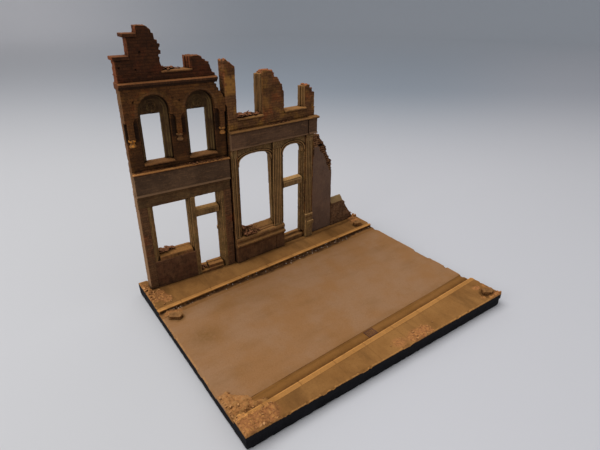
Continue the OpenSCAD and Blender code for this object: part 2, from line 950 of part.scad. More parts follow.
// Three larger blocks that lie apart: on the road, on the far pavement and on the near pavement
module pavement_blocks() {
    color([0.58, 0.42, 0.26]) {
        translate([-119.4, 36.4, road_top])
            rotate([0, 0, -32])
                upright([0, 3], [[-5, -2.6], [3.6, -3.2], [5.2, 0.4], [3.8, 3], [-4.2, 3.2], [-5.8, 0]]);
        translate([115, 75.8, pavement_top])
            rotate([0, 0, -12])
                upright([0, 4], [[-4.4, -2.6], [3.6, -3], [4.6, 1.8], [0.6, 3.2], [-4.2, 2.4]]);
        translate([119.4, -92.4, near_pavement_top])
            rotate([0, 0, -24])
                upright([0, 3.4], [[-5, -2.4], [2.4, -3.6], [5.4, -0.6], [4.2, 2.8], [-3.8, 3]]);
    }
}

// Broken bricks that lie on the sills, the steps and the ledges
module wall_rubble() {
    color([0.46, 0.3, 0.2]) {
        on_left_front() {
            for (i = [0 : 3])
                stone(14.6 + 3.4 * i, 8, shop_sill_top, 3.4 - 0.3 * i, 1.9 - 0.3 * i, 101 + i);
            for (i = [0 : 2])
                stone(50.6 + 2.2 * i, 6, 3.2, 2.4, 1.6 - 0.3 * i, 111 + i);
            for (i = [0 : 7])
                stone(50 + 3.6 * i, -1.4, ledge_top, 1.7, 0.8 + 0.5 * sin(97 * i), 121 + i);
            for (i = [0 : 4])
                stone(36.6 + 2.2 * i, 5.6, gable_window_foot, 2.8, 1.6 - 0.3 * i, 131 + i);
        }
        on_right_front() {
            for (i = [0 : 5])
                stone(11.6 + 2.4 * i, 0.8, right_sill_top, 2.3, 2.4 - 0.3 * i, 141 + i);
            for (i = [0 : 5])
                stone(12 + 2.8 * i, 6.4, upper_sill_top, 3.6, 3.4 - 0.5 * i, 151 + i);
            for (i = [0 : 9])
                stone(42 + 2.6 * i, 0.4, right_ledge_top, 1.6, 0.8 + 0.4 * sin(83 * i), 161 + i);
        }
    }
}

// ---------- assembly ----------

base_board();
road_surface();
near_gutter();
far_gutter();
drain_grate();
far_kerb();
far_pavement();
near_kerb();
near_pavement();
left_end_pier();
left_stall_wall();
left_shop_sill();
left_shop_frame();
left_door_post();
left_transom();
left_door_jamb();
left_latch_keep();
left_door_step();
left_door_pier();
left_lintel_band();
left_fascia_board();
left_fascia_ledge();
left_upper_wall();
left_arcade();
left_window_frame_1();
left_window_frame_2();
left_window_sill_1();
left_window_sill_2();
left_corbels();
left_cornice();
left_gable_stack();
left_gable_parapet();
left_gable_pier();
left_gable_copings();
left_gable_window_sill();
right_stall();
right_stall_ledges();
right_party_pier();
right_middle_pier();
right_end_pier();
right_shop_sill();
right_shop_arch();
right_door_arch();
right_transom();
right_door_jamb();
right_door_step();
right_pilasters();
right_pilaster_plinth();
right_entablature_wall();
right_fascia_board();
right_entablature_ledge();
right_parapet();
right_upper_piers();
right_window_jambs();
right_window_sills();
side_wall();
low_wall();
street_rubble();
pavement_blocks();
wall_rubble();
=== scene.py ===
"""Looks of the miniature terrain ruin: two ruined shop fronts on a street base, built round the CAD frame."""

import math

import bmesh
import bpy
import numpy as np
from mathutils import Matrix, Vector
from mathutils.bvhtree import BVHTree


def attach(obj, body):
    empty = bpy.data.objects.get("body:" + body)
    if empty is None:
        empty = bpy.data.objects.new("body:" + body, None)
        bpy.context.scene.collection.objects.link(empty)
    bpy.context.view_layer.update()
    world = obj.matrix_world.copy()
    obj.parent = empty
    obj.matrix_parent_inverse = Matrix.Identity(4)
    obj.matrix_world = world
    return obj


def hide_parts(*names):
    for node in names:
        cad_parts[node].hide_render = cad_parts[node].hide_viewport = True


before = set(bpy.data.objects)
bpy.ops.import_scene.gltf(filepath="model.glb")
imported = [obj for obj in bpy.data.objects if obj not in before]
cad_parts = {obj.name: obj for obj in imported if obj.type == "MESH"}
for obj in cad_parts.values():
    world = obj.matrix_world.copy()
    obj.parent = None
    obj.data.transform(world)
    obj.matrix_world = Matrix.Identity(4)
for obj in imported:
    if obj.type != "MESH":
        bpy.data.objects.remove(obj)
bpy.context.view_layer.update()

MM = 0.001
HALF_LENGTH = 130.0
HALF_DEPTH = 100.0
BOARD_TOP = 7.0
ROAD_TOP = 9.2
GUTTER_TOP = 8.9
FAR_TOP = 12.0
NEAR_TOP = 12.4
COURSE = 2.2
ARCH_RING = 2.2
BASKET = 2.4
BRICK = 6.6
MATT = 0.08
TOUCH = 0.55
INSET = 0.8


# ---------- places ----------

class Front:
    """A house front: s along it, depth behind it, height above the pavement, all in millimetres."""

    def __init__(self, x, y, turn):
        a = math.radians(turn)
        self.turn = a
        self.origin = np.array([x, y, FAR_TOP])
        self.axes = np.array([[math.cos(a), math.sin(a), 0], [-math.sin(a), math.cos(a), 0], [0, 0, 1]])

    def local(self, world):
        return (world - self.origin) @ self.axes.T

    def world(self, local):
        return local @ self.axes + self.origin


LEFT = Front(-123.6, 82.3, -1.0)
RIGHT = Front(-38.65, 78.2, 4.65)
STREET = Front(0, 0, 0)
STREET.origin = np.zeros(3)


# ---------- seeded noise on arrays of points ----------

def scramble(ix, iy, iz, seed):
    h = (ix * 374761393 + iy * 668265263 + iz * 1274126177 + seed * 1442695041) & 0xFFFFFFFF
    h = ((h ^ (h >> 13)) * 1103515245) & 0xFFFFFFFF
    h = ((h ^ (h >> 16)) * 2246822519) & 0xFFFFFFFF
    return ((h ^ (h >> 15)) & 0xFFFF) / 65535.0


def noise(p, size, seed=0):
    """Smooth noise from -1 to 1, with features of the given size."""
    q = np.asarray(p, float) / size + 100.0
    cell = np.floor(q).astype(np.int64)
    f = q - cell
    f = f * f * (3 - 2 * f)
    share = np.stack([1 - f, f])
    total = np.zeros(len(q))
    for dx, dy, dz in np.ndindex(2, 2, 2):
        w = share[dx, :, 0] * share[dy, :, 1] * share[dz, :, 2]
        total += w * scramble(cell[:, 0] + dx, cell[:, 1] + dy, cell[:, 2] + dz, seed)
    return total * 2 - 1


def rough_noise(p, size, seed=0, layers=3):
    total, weight = 0, 1.0
    for i in range(layers):
        total = total + weight * noise(p, size / 2 ** i, seed + 17 * i)
        weight *= 0.55
    return total


def ramp(x, low, high):
    t = np.clip((x - low) / (high - low), 0, 1)
    return t * t * (3 - 2 * t)


# ---------- meshes ----------

def read(items, name, width, kind=np.float32):
    """One property of every vertex, edge or normal, as rows."""
    values = np.empty(len(items) * width, kind)
    items.foreach_get(name, values)
    return values.reshape(-1, width)


def read_points(me):
    return read(me.vertices, "co", 3).astype(float)


def read_normals(me):
    return read(me.vertex_normals, "vector", 3).astype(float)


def read_edges(me):
    return read(me.edges, "vertices", 2, np.int32)


def write_points(me, co):
    me.vertices.foreach_set("co", np.ascontiguousarray(co, np.float32).ravel())
    me.update()


def new_mesh(name, points, faces):
    """A smooth mesh, from points in metres."""
    me = bpy.data.meshes.new(name)
    me.from_pydata(points, [], faces)
    me.polygons.foreach_set("use_smooth", np.ones(len(me.polygons), bool))
    me.update()
    return me


def new_object(name, data):
    ob = bpy.data.objects.new(name, data)
    bpy.context.scene.collection.objects.link(ob)
    return ob


def welded(node):
    """The CAD node's shape, with its doubled corners joined."""
    bm = bmesh.new()
    bm.from_mesh(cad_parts[node].data)
    bmesh.ops.remove_doubles(bm, verts=bm.verts, dist=1e-6)
    return bm


def relaxed(co, edges, rounds):
    """Points moved towards the mean of their neighbours, this many times."""
    n = len(co)
    a, b = edges[:, 0], edges[:, 1]
    degree = np.maximum(np.bincount(a, minlength=n) + np.bincount(b, minlength=n), 1)
    for _ in range(rounds):
        sums = [np.bincount(a, co[b, k], n) + np.bincount(b, co[a, k], n) for k in range(3)]
        co = 0.35 * co + 0.65 * (np.stack(sums, 1) / degree[:, None])
    return co


def store(me, name, values):
    layer = me.attributes.new(name, "FLOAT", "POINT")
    layer.data.foreach_set("value", np.asarray(values, np.float32))


def voxel_mesh(node, front, voxel):
    """The CAD node's shape in its front's coordinates, in millimetres, as an even mesh of small faces."""
    bm = welded(node)
    me = bpy.data.meshes.new("work")
    bm.to_mesh(me)
    bm.free()
    write_points(me, front.local(read_points(me) / MM))
    ob = new_object("work", me)
    mod = ob.modifiers.new("voxel", "REMESH")
    mod.mode = "VOXEL"
    mod.voxel_size = voxel
    bpy.context.view_layer.update()
    dg = bpy.context.evaluated_depsgraph_get()
    fine = bpy.data.meshes.new_from_object(ob.evaluated_get(dg))
    bpy.data.objects.remove(ob)
    bpy.data.meshes.remove(me)
    return fine


def make_piece(name, me, material, node, crease=None):
    """The object that stands for this CAD node."""
    me.materials.clear()
    me.materials.append(material)
    me.polygons.foreach_set("use_smooth", np.ones(len(me.polygons), bool))
    if crease is not None:
        me.set_sharp_from_angle(angle=math.radians(crease))
    me.name = name
    ob = new_object(name, me)
    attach(ob, "root")
    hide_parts(node)


# ---------- joints between pieces ----------

def cad_shape(node):
    """Points of a CAD node in world millimetres, and its faces."""
    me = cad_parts[node].data
    return read_points(me) / MM, [tuple(f.vertices) for f in me.polygons]


SHAPES = {node: cad_shape(node) for node in sorted(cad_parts)}


def neighbours(node):
    """A search tree of every other CAD node, in world millimetres."""
    points, faces, count = [], [], 0
    for other, (co, polys) in SHAPES.items():
        if other != node:
            points.append(co)
            faces += [tuple(v + count for v in f) for f in polys]
            count += len(co)
    return BVHTree.FromPolygons(np.concatenate(points).tolist(), faces)


def joined(node, places, wanted):
    """1 where another piece lies within TOUCH of these world places, for the wanted ones."""
    tree = neighbours(node)
    near = np.zeros(len(places))
    for i in np.flatnonzero(wanted):
        if tree.find_nearest(places[i], TOUCH)[0] is not None:
            near[i] = 1
    return near


def loose_parts(node):
    """Lowest and highest corner of each separate stone of a CAD node, in world millimetres."""
    bm = welded(node)
    bm.verts.index_update()
    done, parts = set(), []
    for first in bm.verts:
        if first.index in done:
            continue
        done.add(first.index)
        group, rest = [], [first]
        while rest:
            v = rest.pop()
            group.append(tuple(v.co / MM))
            for e in v.link_edges:
                w = e.other_vert(v)
                if w.index not in done:
                    done.add(w.index)
                    rest.append(w)
        group = np.array(group)
        parts.append((group.min(0), group.max(0)))
    bm.free()
    return parts


# ---------- material building ----------

def srgb(r, g, b):
    def linear(c):
        c /= 255
        return c / 12.92 if c <= 0.04045 else ((c + 0.055) / 1.055) ** 2.4
    return (linear(r), linear(g), linear(b), 1)


def seen(r, g, b, light):
    """The paint that looks like this colour under this share of full light."""
    return tuple(min(c / light, 0.92) for c in srgb(r, g, b)[:3]) + (1,)


SHADE = 0.46
OPEN = 0.84


def dim(r, g, b):
    """The same for upright faces, which stand in shade."""
    return seen(r, g, b, SHADE)


def lit(r, g, b):
    """The same for faces that look up."""
    return seen(r, g, b, OPEN)


WORN = lit(190, 132, 74)
RED_WORN = lit(150, 94, 56)
ORANGE_WORN = lit(164, 98, 60)
LIT_TAN = dim(130, 97, 58)
# A pale tone for bare cut faces, also used as painted light on faces turned to the light.
BARE_AND_LIT = seen(114, 87, 62, 0.5)
# A dark tone for dirt, also used for painted shade under overhangs and in hollows.
DIRT_AND_SHADE = dim(22, 14, 9)


class Paint:
    """A node material: short calls that add nodes and link them. Lengths are in millimetres."""

    def __init__(self, name, base=None):
        self.mat = bpy.data.materials.new(name)
        self.mat.use_nodes = True
        self.tree = self.mat.node_tree
        self.tree.nodes.clear()
        self.bsdf = self.node("ShaderNodeBsdfPrincipled", {"Specular IOR Level": MATT})
        self.node("ShaderNodeOutputMaterial", {0: self.bsdf.outputs[0]})
        self.normal = self.node("ShaderNodeNewGeometry").outputs["Normal"]
        place = self.node("ShaderNodeTexCoord").outputs["Object"]
        inputs = {0: place, "Scale": 1 / MM}
        self.place = self.node("ShaderNodeVectorMath", inputs, operation="SCALE").outputs[0]
        self.colour = base

    def node(self, kind, inputs=None, **settings):
        """A node with these settings, and values or links for its inputs."""
        n = self.tree.nodes.new(kind)
        for k, v in settings.items():
            setattr(n, k, v)
        for k, v in (inputs or {}).items():
            self.put(n.inputs[k], v)
        return n

    def put(self, socket, value):
        if isinstance(value, bpy.types.NodeSocket):
            self.tree.links.new(value, socket)
        else:
            socket.default_value = value

    def math(self, op, a, b=0.0):
        return self.node("ShaderNodeMath", {0: a, 1: b}, operation=op).outputs[0]

    def mul(self, a, b):
        return self.math("MULTIPLY", a, b)

    def add(self, a, b):
        return self.math("ADD", a, b)

    def rise(self, value, low, high, to_low=0.0, to_high=1.0):
        """A soft step of a value, between two heights."""
        inputs = {"Value": value, "From Min": low, "From Max": high, "To Min": to_low, "To Max": to_high}
        return self.node("ShaderNodeMapRange", inputs, interpolation_type="SMOOTHSTEP").outputs["Result"]

    def part(self, value, low, high, share):
        return self.mul(self.rise(value, low, high), share)

    def moved(self, shift, stretch=(1, 1, 1)):
        inputs = {"Vector": self.place, "Scale": stretch, "Location": shift}
        return self.node("ShaderNodeMapping", inputs).outputs[0]

    def noise(self, size, detail, rough, stretch=None, shift=0.0):
        place = self.place
        if stretch or shift:
            place = self.moved((shift, shift * 1.7, shift * 0.6), stretch or (1, 1, 1))
        inputs = {"Vector": place, "Scale": 1 / size, "Detail": detail, "Roughness": rough}
        return self.node("ShaderNodeTexNoise", inputs).outputs["Fac"]

    def patches(self, size, detail, rough, low, high, share=1.0, stretch=None, shift=0.0):
        """Soft patches of noise, up to this share."""
        value = self.rise(self.noise(size, detail, rough, stretch, shift), low, high)
        return self.mul(value, share) if share < 1 else value

    def cells(self, size, shift):
        inputs = {"Vector": self.moved((shift, shift, shift)), "Scale": 1 / size}
        return self.node("ShaderNodeTexVoronoi", inputs).outputs["Distance"]

    def mix(self, factor, a, b, blend="MIX"):
        n = self.node("ShaderNodeMix", data_type="RGBA", blend_type=blend, clamp_factor=True)
        for k, v in ((0, factor), (6, a), (7, b)):
            self.put(n.inputs[k], v)
        return n.outputs[2]

    def coat(self, factor, tone, blend="MIX"):
        """Another tone over the colour so far, by this share."""
        self.colour = self.mix(factor, self.colour, tone, blend)

    def attribute(self, name):
        return self.node("ShaderNodeAttribute", attribute_name=name).outputs["Fac"]

    def upward(self):
        return self.node("ShaderNodeSeparateXYZ", {0: self.normal}).outputs["Z"]

    def height(self):
        return self.node("ShaderNodeSeparateXYZ", {0: self.place}).outputs["Z"]

    def hollow(self, reach):
        """1 in the open and near 0 deep in a corner."""
        return self.node("ShaderNodeAmbientOcclusion", {"Distance": reach * MM}, samples=5).outputs["AO"]

    def bump(self, height, depth):
        inputs = {"Distance": depth * MM, "Strength": 1.0, "Height": height}
        return self.node("ShaderNodeBump", inputs).outputs[0]

    def finish(self, roughness, normal=None):
        self.put(self.bsdf.inputs["Base Color"], self.colour)
        self.put(self.bsdf.inputs["Roughness"], roughness)
        if normal is not None:
            self.put(self.bsdf.inputs["Normal"], normal)
        return self.mat


def brick_pattern(p, turn):
    """Brick courses that run round a wall turned by this angle."""
    c, s = math.cos(turn), math.sin(turn)
    along = p.node("ShaderNodeVectorMath", {0: p.place, 1: (c - s, s + c, 0)}, operation="DOT_PRODUCT")
    place = p.node("ShaderNodeCombineXYZ", {0: along.outputs["Value"], 1: p.add(p.height(), -FAR_TOP)})
    return p.node("ShaderNodeTexBrick", {
        "Vector": place.outputs[0], "Scale": 0.25 / COURSE, "Mortar Size": 0.026, "Mortar Smooth": 0.6,
        "Brick Width": 0.25 * BRICK / COURSE, "Row Height": 0.25, "Color1": (0, 0, 0, 1),
        "Color2": (1, 1, 1, 1), "Mortar": (0.5, 0.5, 0.5, 1),
    }, offset=0.5)


def weathered(p, worn, bare_and_lit, dirt_and_shade, brush, ledge, corners):
    """Wear over a coat of paint: dry-brushed edges and tops, bare cut faces with painted light, dirt and
    marked painted shade, painted shade on faces that look down, and a dark wash with painted shade in corners
    and recesses.
    """
    edge = p.mul(p.rise(p.attribute("edge"), 0.1, 0.7), p.patches(2.4, 4, 0.65, 0.36, 0.68, shift=7))
    p.coat(p.mul(edge, brush), worn)
    spotty = p.rise(p.noise(1.9, 4, 0.65, shift=3), 0.22, 0.62, 0.35, 1.0)
    top = p.part(p.upward(), 0.45, 0.95, spotty)
    p.coat(p.mul(top, ledge), worn)
    # The pale tone goes on bare cut faces and real patches, and as painted light on sides that face the
    # light.
    p.coat(p.attribute("light"), bare_and_lit)
    # Painted shade: faces that look down get the dark tone, over the dirt and painted shade of the marks.
    under = p.rise(p.upward(), -0.75, -0.15, 0.8, 0.0)
    p.coat(p.math("MAXIMUM", p.attribute("wash_and_shade"), under), dirt_and_shade)
    # Painted shade from occlusion: a dark wash with shade in crevices, and broader shade in recesses.
    crevice = p.rise(p.hollow(2.4), 0.3, 0.95, corners, 1.0)
    recess = p.rise(p.hollow(12), 0.1, 0.8, 0.42, 1.0)
    p.coat(1.0, p.mul(crevice, recess), "MULTIPLY")


def brick_paint(name, turn, dark, red, tan, ochre, mortar, worn, bare_and_lit, red_share, joints, ledge=0.55):
    """Painted bricks in courses, with patches of other tones, pits and dirt."""
    p = Paint(name, dark)
    pattern = brick_pattern(p, turn)
    mortar_lines = pattern.outputs["Fac"]
    grain = p.noise(0.9, 4, 0.7, shift=31)
    p.coat(p.patches(15, 4, 0.6, 0.66 - 0.3 * red_share, 0.84 - 0.3 * red_share), red)
    p.coat(p.patches(11, 3, 0.6, 0.5, 0.7, 0.5, shift=57), ochre)
    p.coat(p.mul(pattern.outputs["Color"], 0.22), tan)
    p.coat(p.part(grain, 0.45, 0.75, 0.4), tan)
    p.coat(p.patches(1.6, 3, 0.7, 0.55, 0.72, 0.4, shift=77), mortar)
    p.coat(p.mul(mortar_lines, joints), mortar)
    pits = p.rise(p.noise(1.7, 3, 0.6, shift=83), 0.3, 0.38, 1.0, 0.0)
    p.coat(p.mul(pits, 0.6), DIRT_AND_SHADE)
    p.coat(p.patches(5, 4, 0.68, 0.5, 0.68, 0.4, shift=97), DIRT_AND_SHADE)
    weathered(p, worn, bare_and_lit, DIRT_AND_SHADE, 0.4, ledge, 0.2)
    normal = p.bump(p.add(p.mul(mortar_lines, -0.6), grain), 0.2)
    return p.finish(p.rise(grain, 0.2, 0.8, 0.7, 0.95), normal)


def cast_paint(name, base, tan, worn, bare_and_lit=BARE_AND_LIT, dirt_and_shade=DIRT_AND_SHADE, tint=None, brush=0.4, ledge=0.75,
               grain_size=0.8, streak=(1, 1, 0.16), streaks=0.3, corners=0.22, spread=11, blotch=0.28):
    """Cast mouldings, frames, boards and stones: patches, streaks and grain over a base coat."""
    p = Paint(name, base)
    grain = p.noise(grain_size, 4, 0.65)
    p.coat(p.patches(spread, 4, 0.6, 0.36, 0.68, shift=5), tan)
    if tint is not None:
        p.coat(p.patches(8, 3, 0.55, 0.42, 0.7, 0.7, shift=19), tint)
    p.coat(p.patches(1.3, 3, 0.55, 0.46, 0.74, streaks, streak, 11), dirt_and_shade)
    p.coat(p.patches(1.1, 3, 0.55, 0.5, 0.76, streaks * 0.8, streak, 71), worn)
    p.coat(p.part(grain, 0.48, 0.78, 0.3), worn)
    p.coat(p.patches(3.4, 4, 0.65, 0.42, 0.66, blotch, shift=43), dirt_and_shade)
    weathered(p, worn, bare_and_lit, dirt_and_shade, brush, ledge, corners)
    return p.finish(p.rise(grain, 0.2, 0.8, 0.66, 0.92), p.bump(grain, 0.14))


def side_coat(p, top):
    """Black paint on the outer sides of the base, with a ragged upper line just under its top edge."""
    line = p.add(p.height(), p.mul(p.add(p.noise(2.0, 4, 0.65, shift=41), -0.5), 2.0))
    low = p.rise(line, top - 0.5, top - 0.2, 1.0, 0.0)
    side = p.mul(p.rise(p.math("ABSOLUTE", p.upward()), 0.55, 0.8, 1.0, 0.0), low)
    black = p.mix(p.noise(1.5, 3, 0.6, shift=2), srgb(17, 17, 20), srgb(33, 32, 36))
    p.coat(p.mul(side, p.attribute("outer")), black)


def ground_paint(name, base, tan, dark, edge, gravel, top, speck, speck_share=0.25, streaks=0.3,
                 stretch=(0.3, 1, 1), spots=0.0):
    """Ground with patches, streaks and specks, gravel where it is stony, and a black outer side."""
    p = Paint(name, base)
    fine = p.noise(0.5, 4, 0.75)
    grit = p.noise(1.5, 4, 0.7, shift=9)
    p.coat(p.patches(30, 4, 0.6, 0.34, 0.68, shift=4), tan)
    p.coat(p.patches(13, 4, 0.62, 0.46, 0.74, streaks, stretch, 14), dark)
    p.coat(p.part(grit, 0.48, 0.74, 0.3), dark)
    p.coat(p.part(fine, 0.5, 0.78, speck_share), speck)
    rubble = p.mix(p.rise(p.noise(1.3, 3, 0.7, shift=90), 0.32, 0.54, 0.2, 1.0), dark, gravel)
    rubble = p.mix(p.part(fine, 0.45, 0.7, 0.5), rubble, edge)
    p.coat(p.rise(p.attribute("stony"), 0.15, 0.6), rubble)
    p.coat(p.attribute("light"), edge)
    uneven = p.rise(p.noise(2.6, 4, 0.65, shift=61), 0.25, 0.6, 0.45, 1.0)
    p.coat(p.mul(p.attribute("wash_and_shade"), uneven), dark)
    if spots:
        dot = p.rise(p.cells(2.8, 5), 0.12, 0.24, 1.0, 0.0)
        white = p.mul(dot, p.rise(p.attribute("wash_and_shade"), 0.25, 0.6))
        white = p.mul(white, p.patches(9, 2, 0.5, 0.34, 0.54, shift=24))
        p.coat(p.mul(white, spots), srgb(226, 206, 188))
    worn = p.mul(p.rise(p.attribute("edge"), 0.1, 0.5), p.patches(3, 3, 0.6, 0.3, 0.6, shift=33))
    p.coat(p.mul(worn, 0.6), edge)
    # Painted shade in hollows of the ground and round the things that stand on it.
    p.coat(1.0, p.rise(p.hollow(4), 0.2, 0.8, 0.5, 1.0), "MULTIPLY")
    side_coat(p, top)
    normal = p.bump(p.add(fine, p.mul(grit, 1.2)), 0.2)
    return p.finish(p.rise(fine, 0.2, 0.8, 0.7, 0.95), normal)


BOARD = {"brush": 0.6, "ledge": 0.6, "grain_size": 1.4, "streak": (0.12, 0.12, 1), "corners": 0.55,
         "spread": 26, "blotch": 0.12}
PAINTS = {
    "gable": brick_paint(
        "brick_gable", LEFT.turn, dim(38, 22, 13), dim(54, 26, 14), dim(78, 44, 23),
        dim(52, 32, 16), dim(20, 11, 7), RED_WORN, seen(122, 66, 36, 0.42), red_share=0.66, joints=0.45),
    "brick_left": brick_paint(
        "brick_left", LEFT.turn, dim(54, 33, 17), dim(76, 39, 18), dim(106, 68, 34),
        dim(84, 58, 26), dim(24, 14, 8), RED_WORN, BARE_AND_LIT, red_share=0.46, joints=0.38),
    "brick_pier": brick_paint(
        "brick_pier", LEFT.turn, dim(60, 42, 28), dim(84, 46, 27), dim(110, 74, 46),
        dim(74, 56, 36), dim(34, 22, 14), RED_WORN, BARE_AND_LIT, red_share=0.42, joints=0.4),
    "brick_right": brick_paint(
        "brick_right", RIGHT.turn, dim(64, 42, 26), dim(92, 48, 26), dim(120, 82, 44),
        dim(126, 90, 36), dim(34, 21, 13), ORANGE_WORN, dim(126, 88, 40), ledge=0.85,
        red_share=0.52, joints=0.45),
    "plaster": cast_paint(
        "smooth_wall", dim(56, 41, 26), dim(74, 56, 35), dim(118, 86, 50),
        tint=dim(60, 40, 24), streaks=0.25, streak=(0.2, 0.2, 1)),
    "mottled": cast_paint(
        "mottled_wall", dim(58, 39, 27), dim(74, 51, 34), dim(106, 70, 44),
        tint=dim(64, 40, 27), streaks=0.22, blotch=0.45, grain_size=0.6),
    "stall": cast_paint(
        "stall_panel", dim(60, 41, 27), dim(77, 53, 35), dim(120, 84, 48),
        blotch=0.3),
    "low_wall": cast_paint(
        "low_wall_stone", dim(66, 47, 33), dim(90, 65, 45), dim(124, 90, 60),
        seen(132, 108, 72, 0.7), streaks=0.2, blotch=0.5, grain_size=0.6, ledge=0.2),
    "niche": cast_paint(
        "niche_paint", dim(46, 32, 19), dim(60, 44, 26), dim(104, 76, 42),
        dim(96, 78, 44), tint=dim(56, 42, 24), brush=0.35),
    "trim_left": cast_paint(
        "carved_trim_left", dim(70, 44, 25), dim(96, 62, 35), WORN,
        tint=dim(84, 48, 26)),
    "shop_sill": cast_paint(
        "shop_sill_left", dim(74, 50, 28), dim(100, 70, 38), lit(172, 120, 66),
        tint=dim(92, 58, 36), blotch=0.4),
    "sill": cast_paint(
        "window_sill_left", dim(66, 43, 25), dim(90, 60, 34), lit(150, 104, 60),
        tint=dim(78, 48, 27), ledge=0.6, blotch=0.4),
    "cornice": cast_paint(
        "cornice_paint", dim(34, 21, 13), dim(48, 30, 18), lit(148, 96, 56), seen(112, 62, 34, 0.5),
        tint=dim(52, 30, 17), brush=0.25, ledge=0.85),
    "trim_right": cast_paint(
        "carved_trim_right", dim(82, 58, 36), dim(106, 76, 45), lit(168, 118, 66), LIT_TAN,
        tint=dim(94, 70, 37), ledge=0.6),
    "corbel": cast_paint(
        "corbel_paint", dim(74, 52, 34), dim(96, 68, 42), seen(168, 116, 62, 0.6),
        seen(178, 116, 44, 0.55), spread=2.5, corners=0.1),
    "frame_left": cast_paint(
        "painted_frame_left", dim(68, 52, 32), dim(98, 74, 45), dim(164, 122, 72), LIT_TAN,
        tint=dim(86, 69, 40), brush=0.8),
    "frame_right": cast_paint(
        "painted_frame_right", dim(76, 58, 38), dim(104, 80, 50), dim(170, 130, 80), LIT_TAN,
        tint=dim(98, 79, 47), brush=0.8),
    "board_left": cast_paint(
        "fascia_paint_left", dim(54, 40, 29), dim(69, 52, 38), dim(108, 80, 54),
        **BOARD),
    "board_right": cast_paint(
        "fascia_paint_right", dim(56, 41, 30), dim(72, 53, 39), dim(116, 84, 56),
        streaks=0.34, **BOARD),
    "render": cast_paint(
        "render_paint", dim(72, 57, 48), dim(84, 66, 54), dim(120, 88, 64),
        dim(104, 73, 47), dim(40, 22, 14), grain_size=1.6, streaks=0.2, blotch=0.1, spread=20),
    "road": ground_paint(
        "road_earth", lit(148, 106, 67), lit(151, 114, 82), lit(122, 86, 46), lit(178, 130, 82),
        lit(176, 120, 70), ROAD_TOP, lit(186, 146, 108), speck_share=0.42),
    "gutter": ground_paint(
        "gutter_ochre", lit(130, 88, 42), lit(140, 96, 50), lit(84, 52, 22), lit(168, 122, 70),
        lit(176, 120, 70), GUTTER_TOP, lit(164, 124, 80)),
    "kerb_foot": ground_paint(
        "kerb_foot_ochre", lit(132, 90, 48), lit(138, 98, 60), lit(50, 31, 17), lit(132, 92, 54),
        lit(170, 116, 68), GUTTER_TOP, lit(164, 124, 80), spots=0.7),
    "kerb": ground_paint(
        "kerb_stone", lit(158, 109, 56), lit(174, 122, 66), lit(46, 28, 16), lit(214, 152, 84),
        lit(176, 120, 70), FAR_TOP, lit(196, 146, 92), spots=0.9),
    "pavement": ground_paint(
        "pavement_ochre", lit(138, 95, 50), lit(154, 109, 60), lit(92, 61, 31), lit(190, 134, 74),
        lit(170, 112, 68), FAR_TOP, lit(178, 130, 76), stretch=(1, 0.3, 1), streaks=0.5),
    "rubble": cast_paint(
        "rubble_paint", lit(154, 102, 58), lit(180, 124, 74), lit(208, 156, 102),
        lit(204, 152, 100), lit(104, 64, 36), grain_size=0.5, ledge=0.3, corners=0.45, spread=5, blotch=0.15),
    "debris": cast_paint(
        "debris_paint", seen(80, 48, 32, 0.7), seen(128, 82, 54, 0.7), seen(170, 116, 78, 0.7),
        seen(160, 110, 76, 0.7), seen(26, 15, 10, 0.7), grain_size=0.5, ledge=0.35, corners=0.1, spread=3),
    "block": cast_paint(
        "block_paint", lit(104, 68, 36), lit(134, 92, 52), lit(190, 142, 90),
        lit(180, 132, 88), lit(46, 28, 16), grain_size=0.6, ledge=0.25, corners=0.1, spread=5),
    "grate": cast_paint(
        "grate_iron", lit(78, 50, 36), lit(94, 62, 44), lit(132, 92, 70), BARE_AND_LIT, lit(30, 19, 16),
        brush=0.6, ledge=0.2),
    "black": cast_paint(
        "board_black", srgb(18, 18, 21), srgb(28, 27, 31), srgb(52, 50, 52), BARE_AND_LIT, srgb(12, 12, 14),
        ledge=0.1),
}


# ---------- reliefs: offsets along the normal, from places and normals in a front's coordinates ----------

def facing(no):
    return ramp(-no[:, 1], 0.5, 0.8)


def inside(x, low, high, soft=0.3):
    return ramp(x, low - soft, low + soft) * (1 - ramp(x, high - soft, high + soft))


def masonry(seed, depth=0.2):
    """Courses of uneven bricks."""
    def push(co, no):
        row = np.floor(co[:, 2] / COURSE)
        k = (co[:, 0] + co[:, 1]) / BRICK + 0.5 * np.mod(row, 2)
        col = np.floor(k)
        each = scramble(row.astype(np.int64), col.astype(np.int64), np.zeros(len(co), np.int64), seed)
        du = (k - col) * BRICK
        dv = co[:, 2] - row * COURSE
        gap = np.minimum(np.minimum(du, BRICK - du), np.minimum(dv, COURSE - dv))
        lost = np.where(each > 0.95, 2.2, 0.0) * ramp(gap, 0.1, 0.4)
        return -depth * (1 - np.abs(no[:, 2])) * (0.7 * (1 - ramp(gap, 0.1, 0.5)) + 0.6 * each + lost)
    return push


def holes(places, size, depth):
    """Small square holes in the front, at places along and up it."""
    def push(co, no):
        total = np.zeros(len(co))
        for s, z in places:
            near = np.maximum(np.abs(co[:, 0] - s), np.abs(co[:, 2] - z))
            total -= depth * (1 - ramp(near, size * 0.7, size * 1.15)) * (no[:, 1] < -0.5)
        return total
    return push


def flutes(low, high, foot, head, pitch=2.1, depth=0.32):
    """Upright grooves in the front face between two places and two heights."""
    def push(co, no):
        wave = 0.5 - 0.5 * np.cos(2 * math.pi * (co[:, 0] - low) / pitch)
        return -depth * wave * facing(no) * inside(co[:, 0], low, high) * inside(co[:, 2], foot, head, 0.8)
    return push


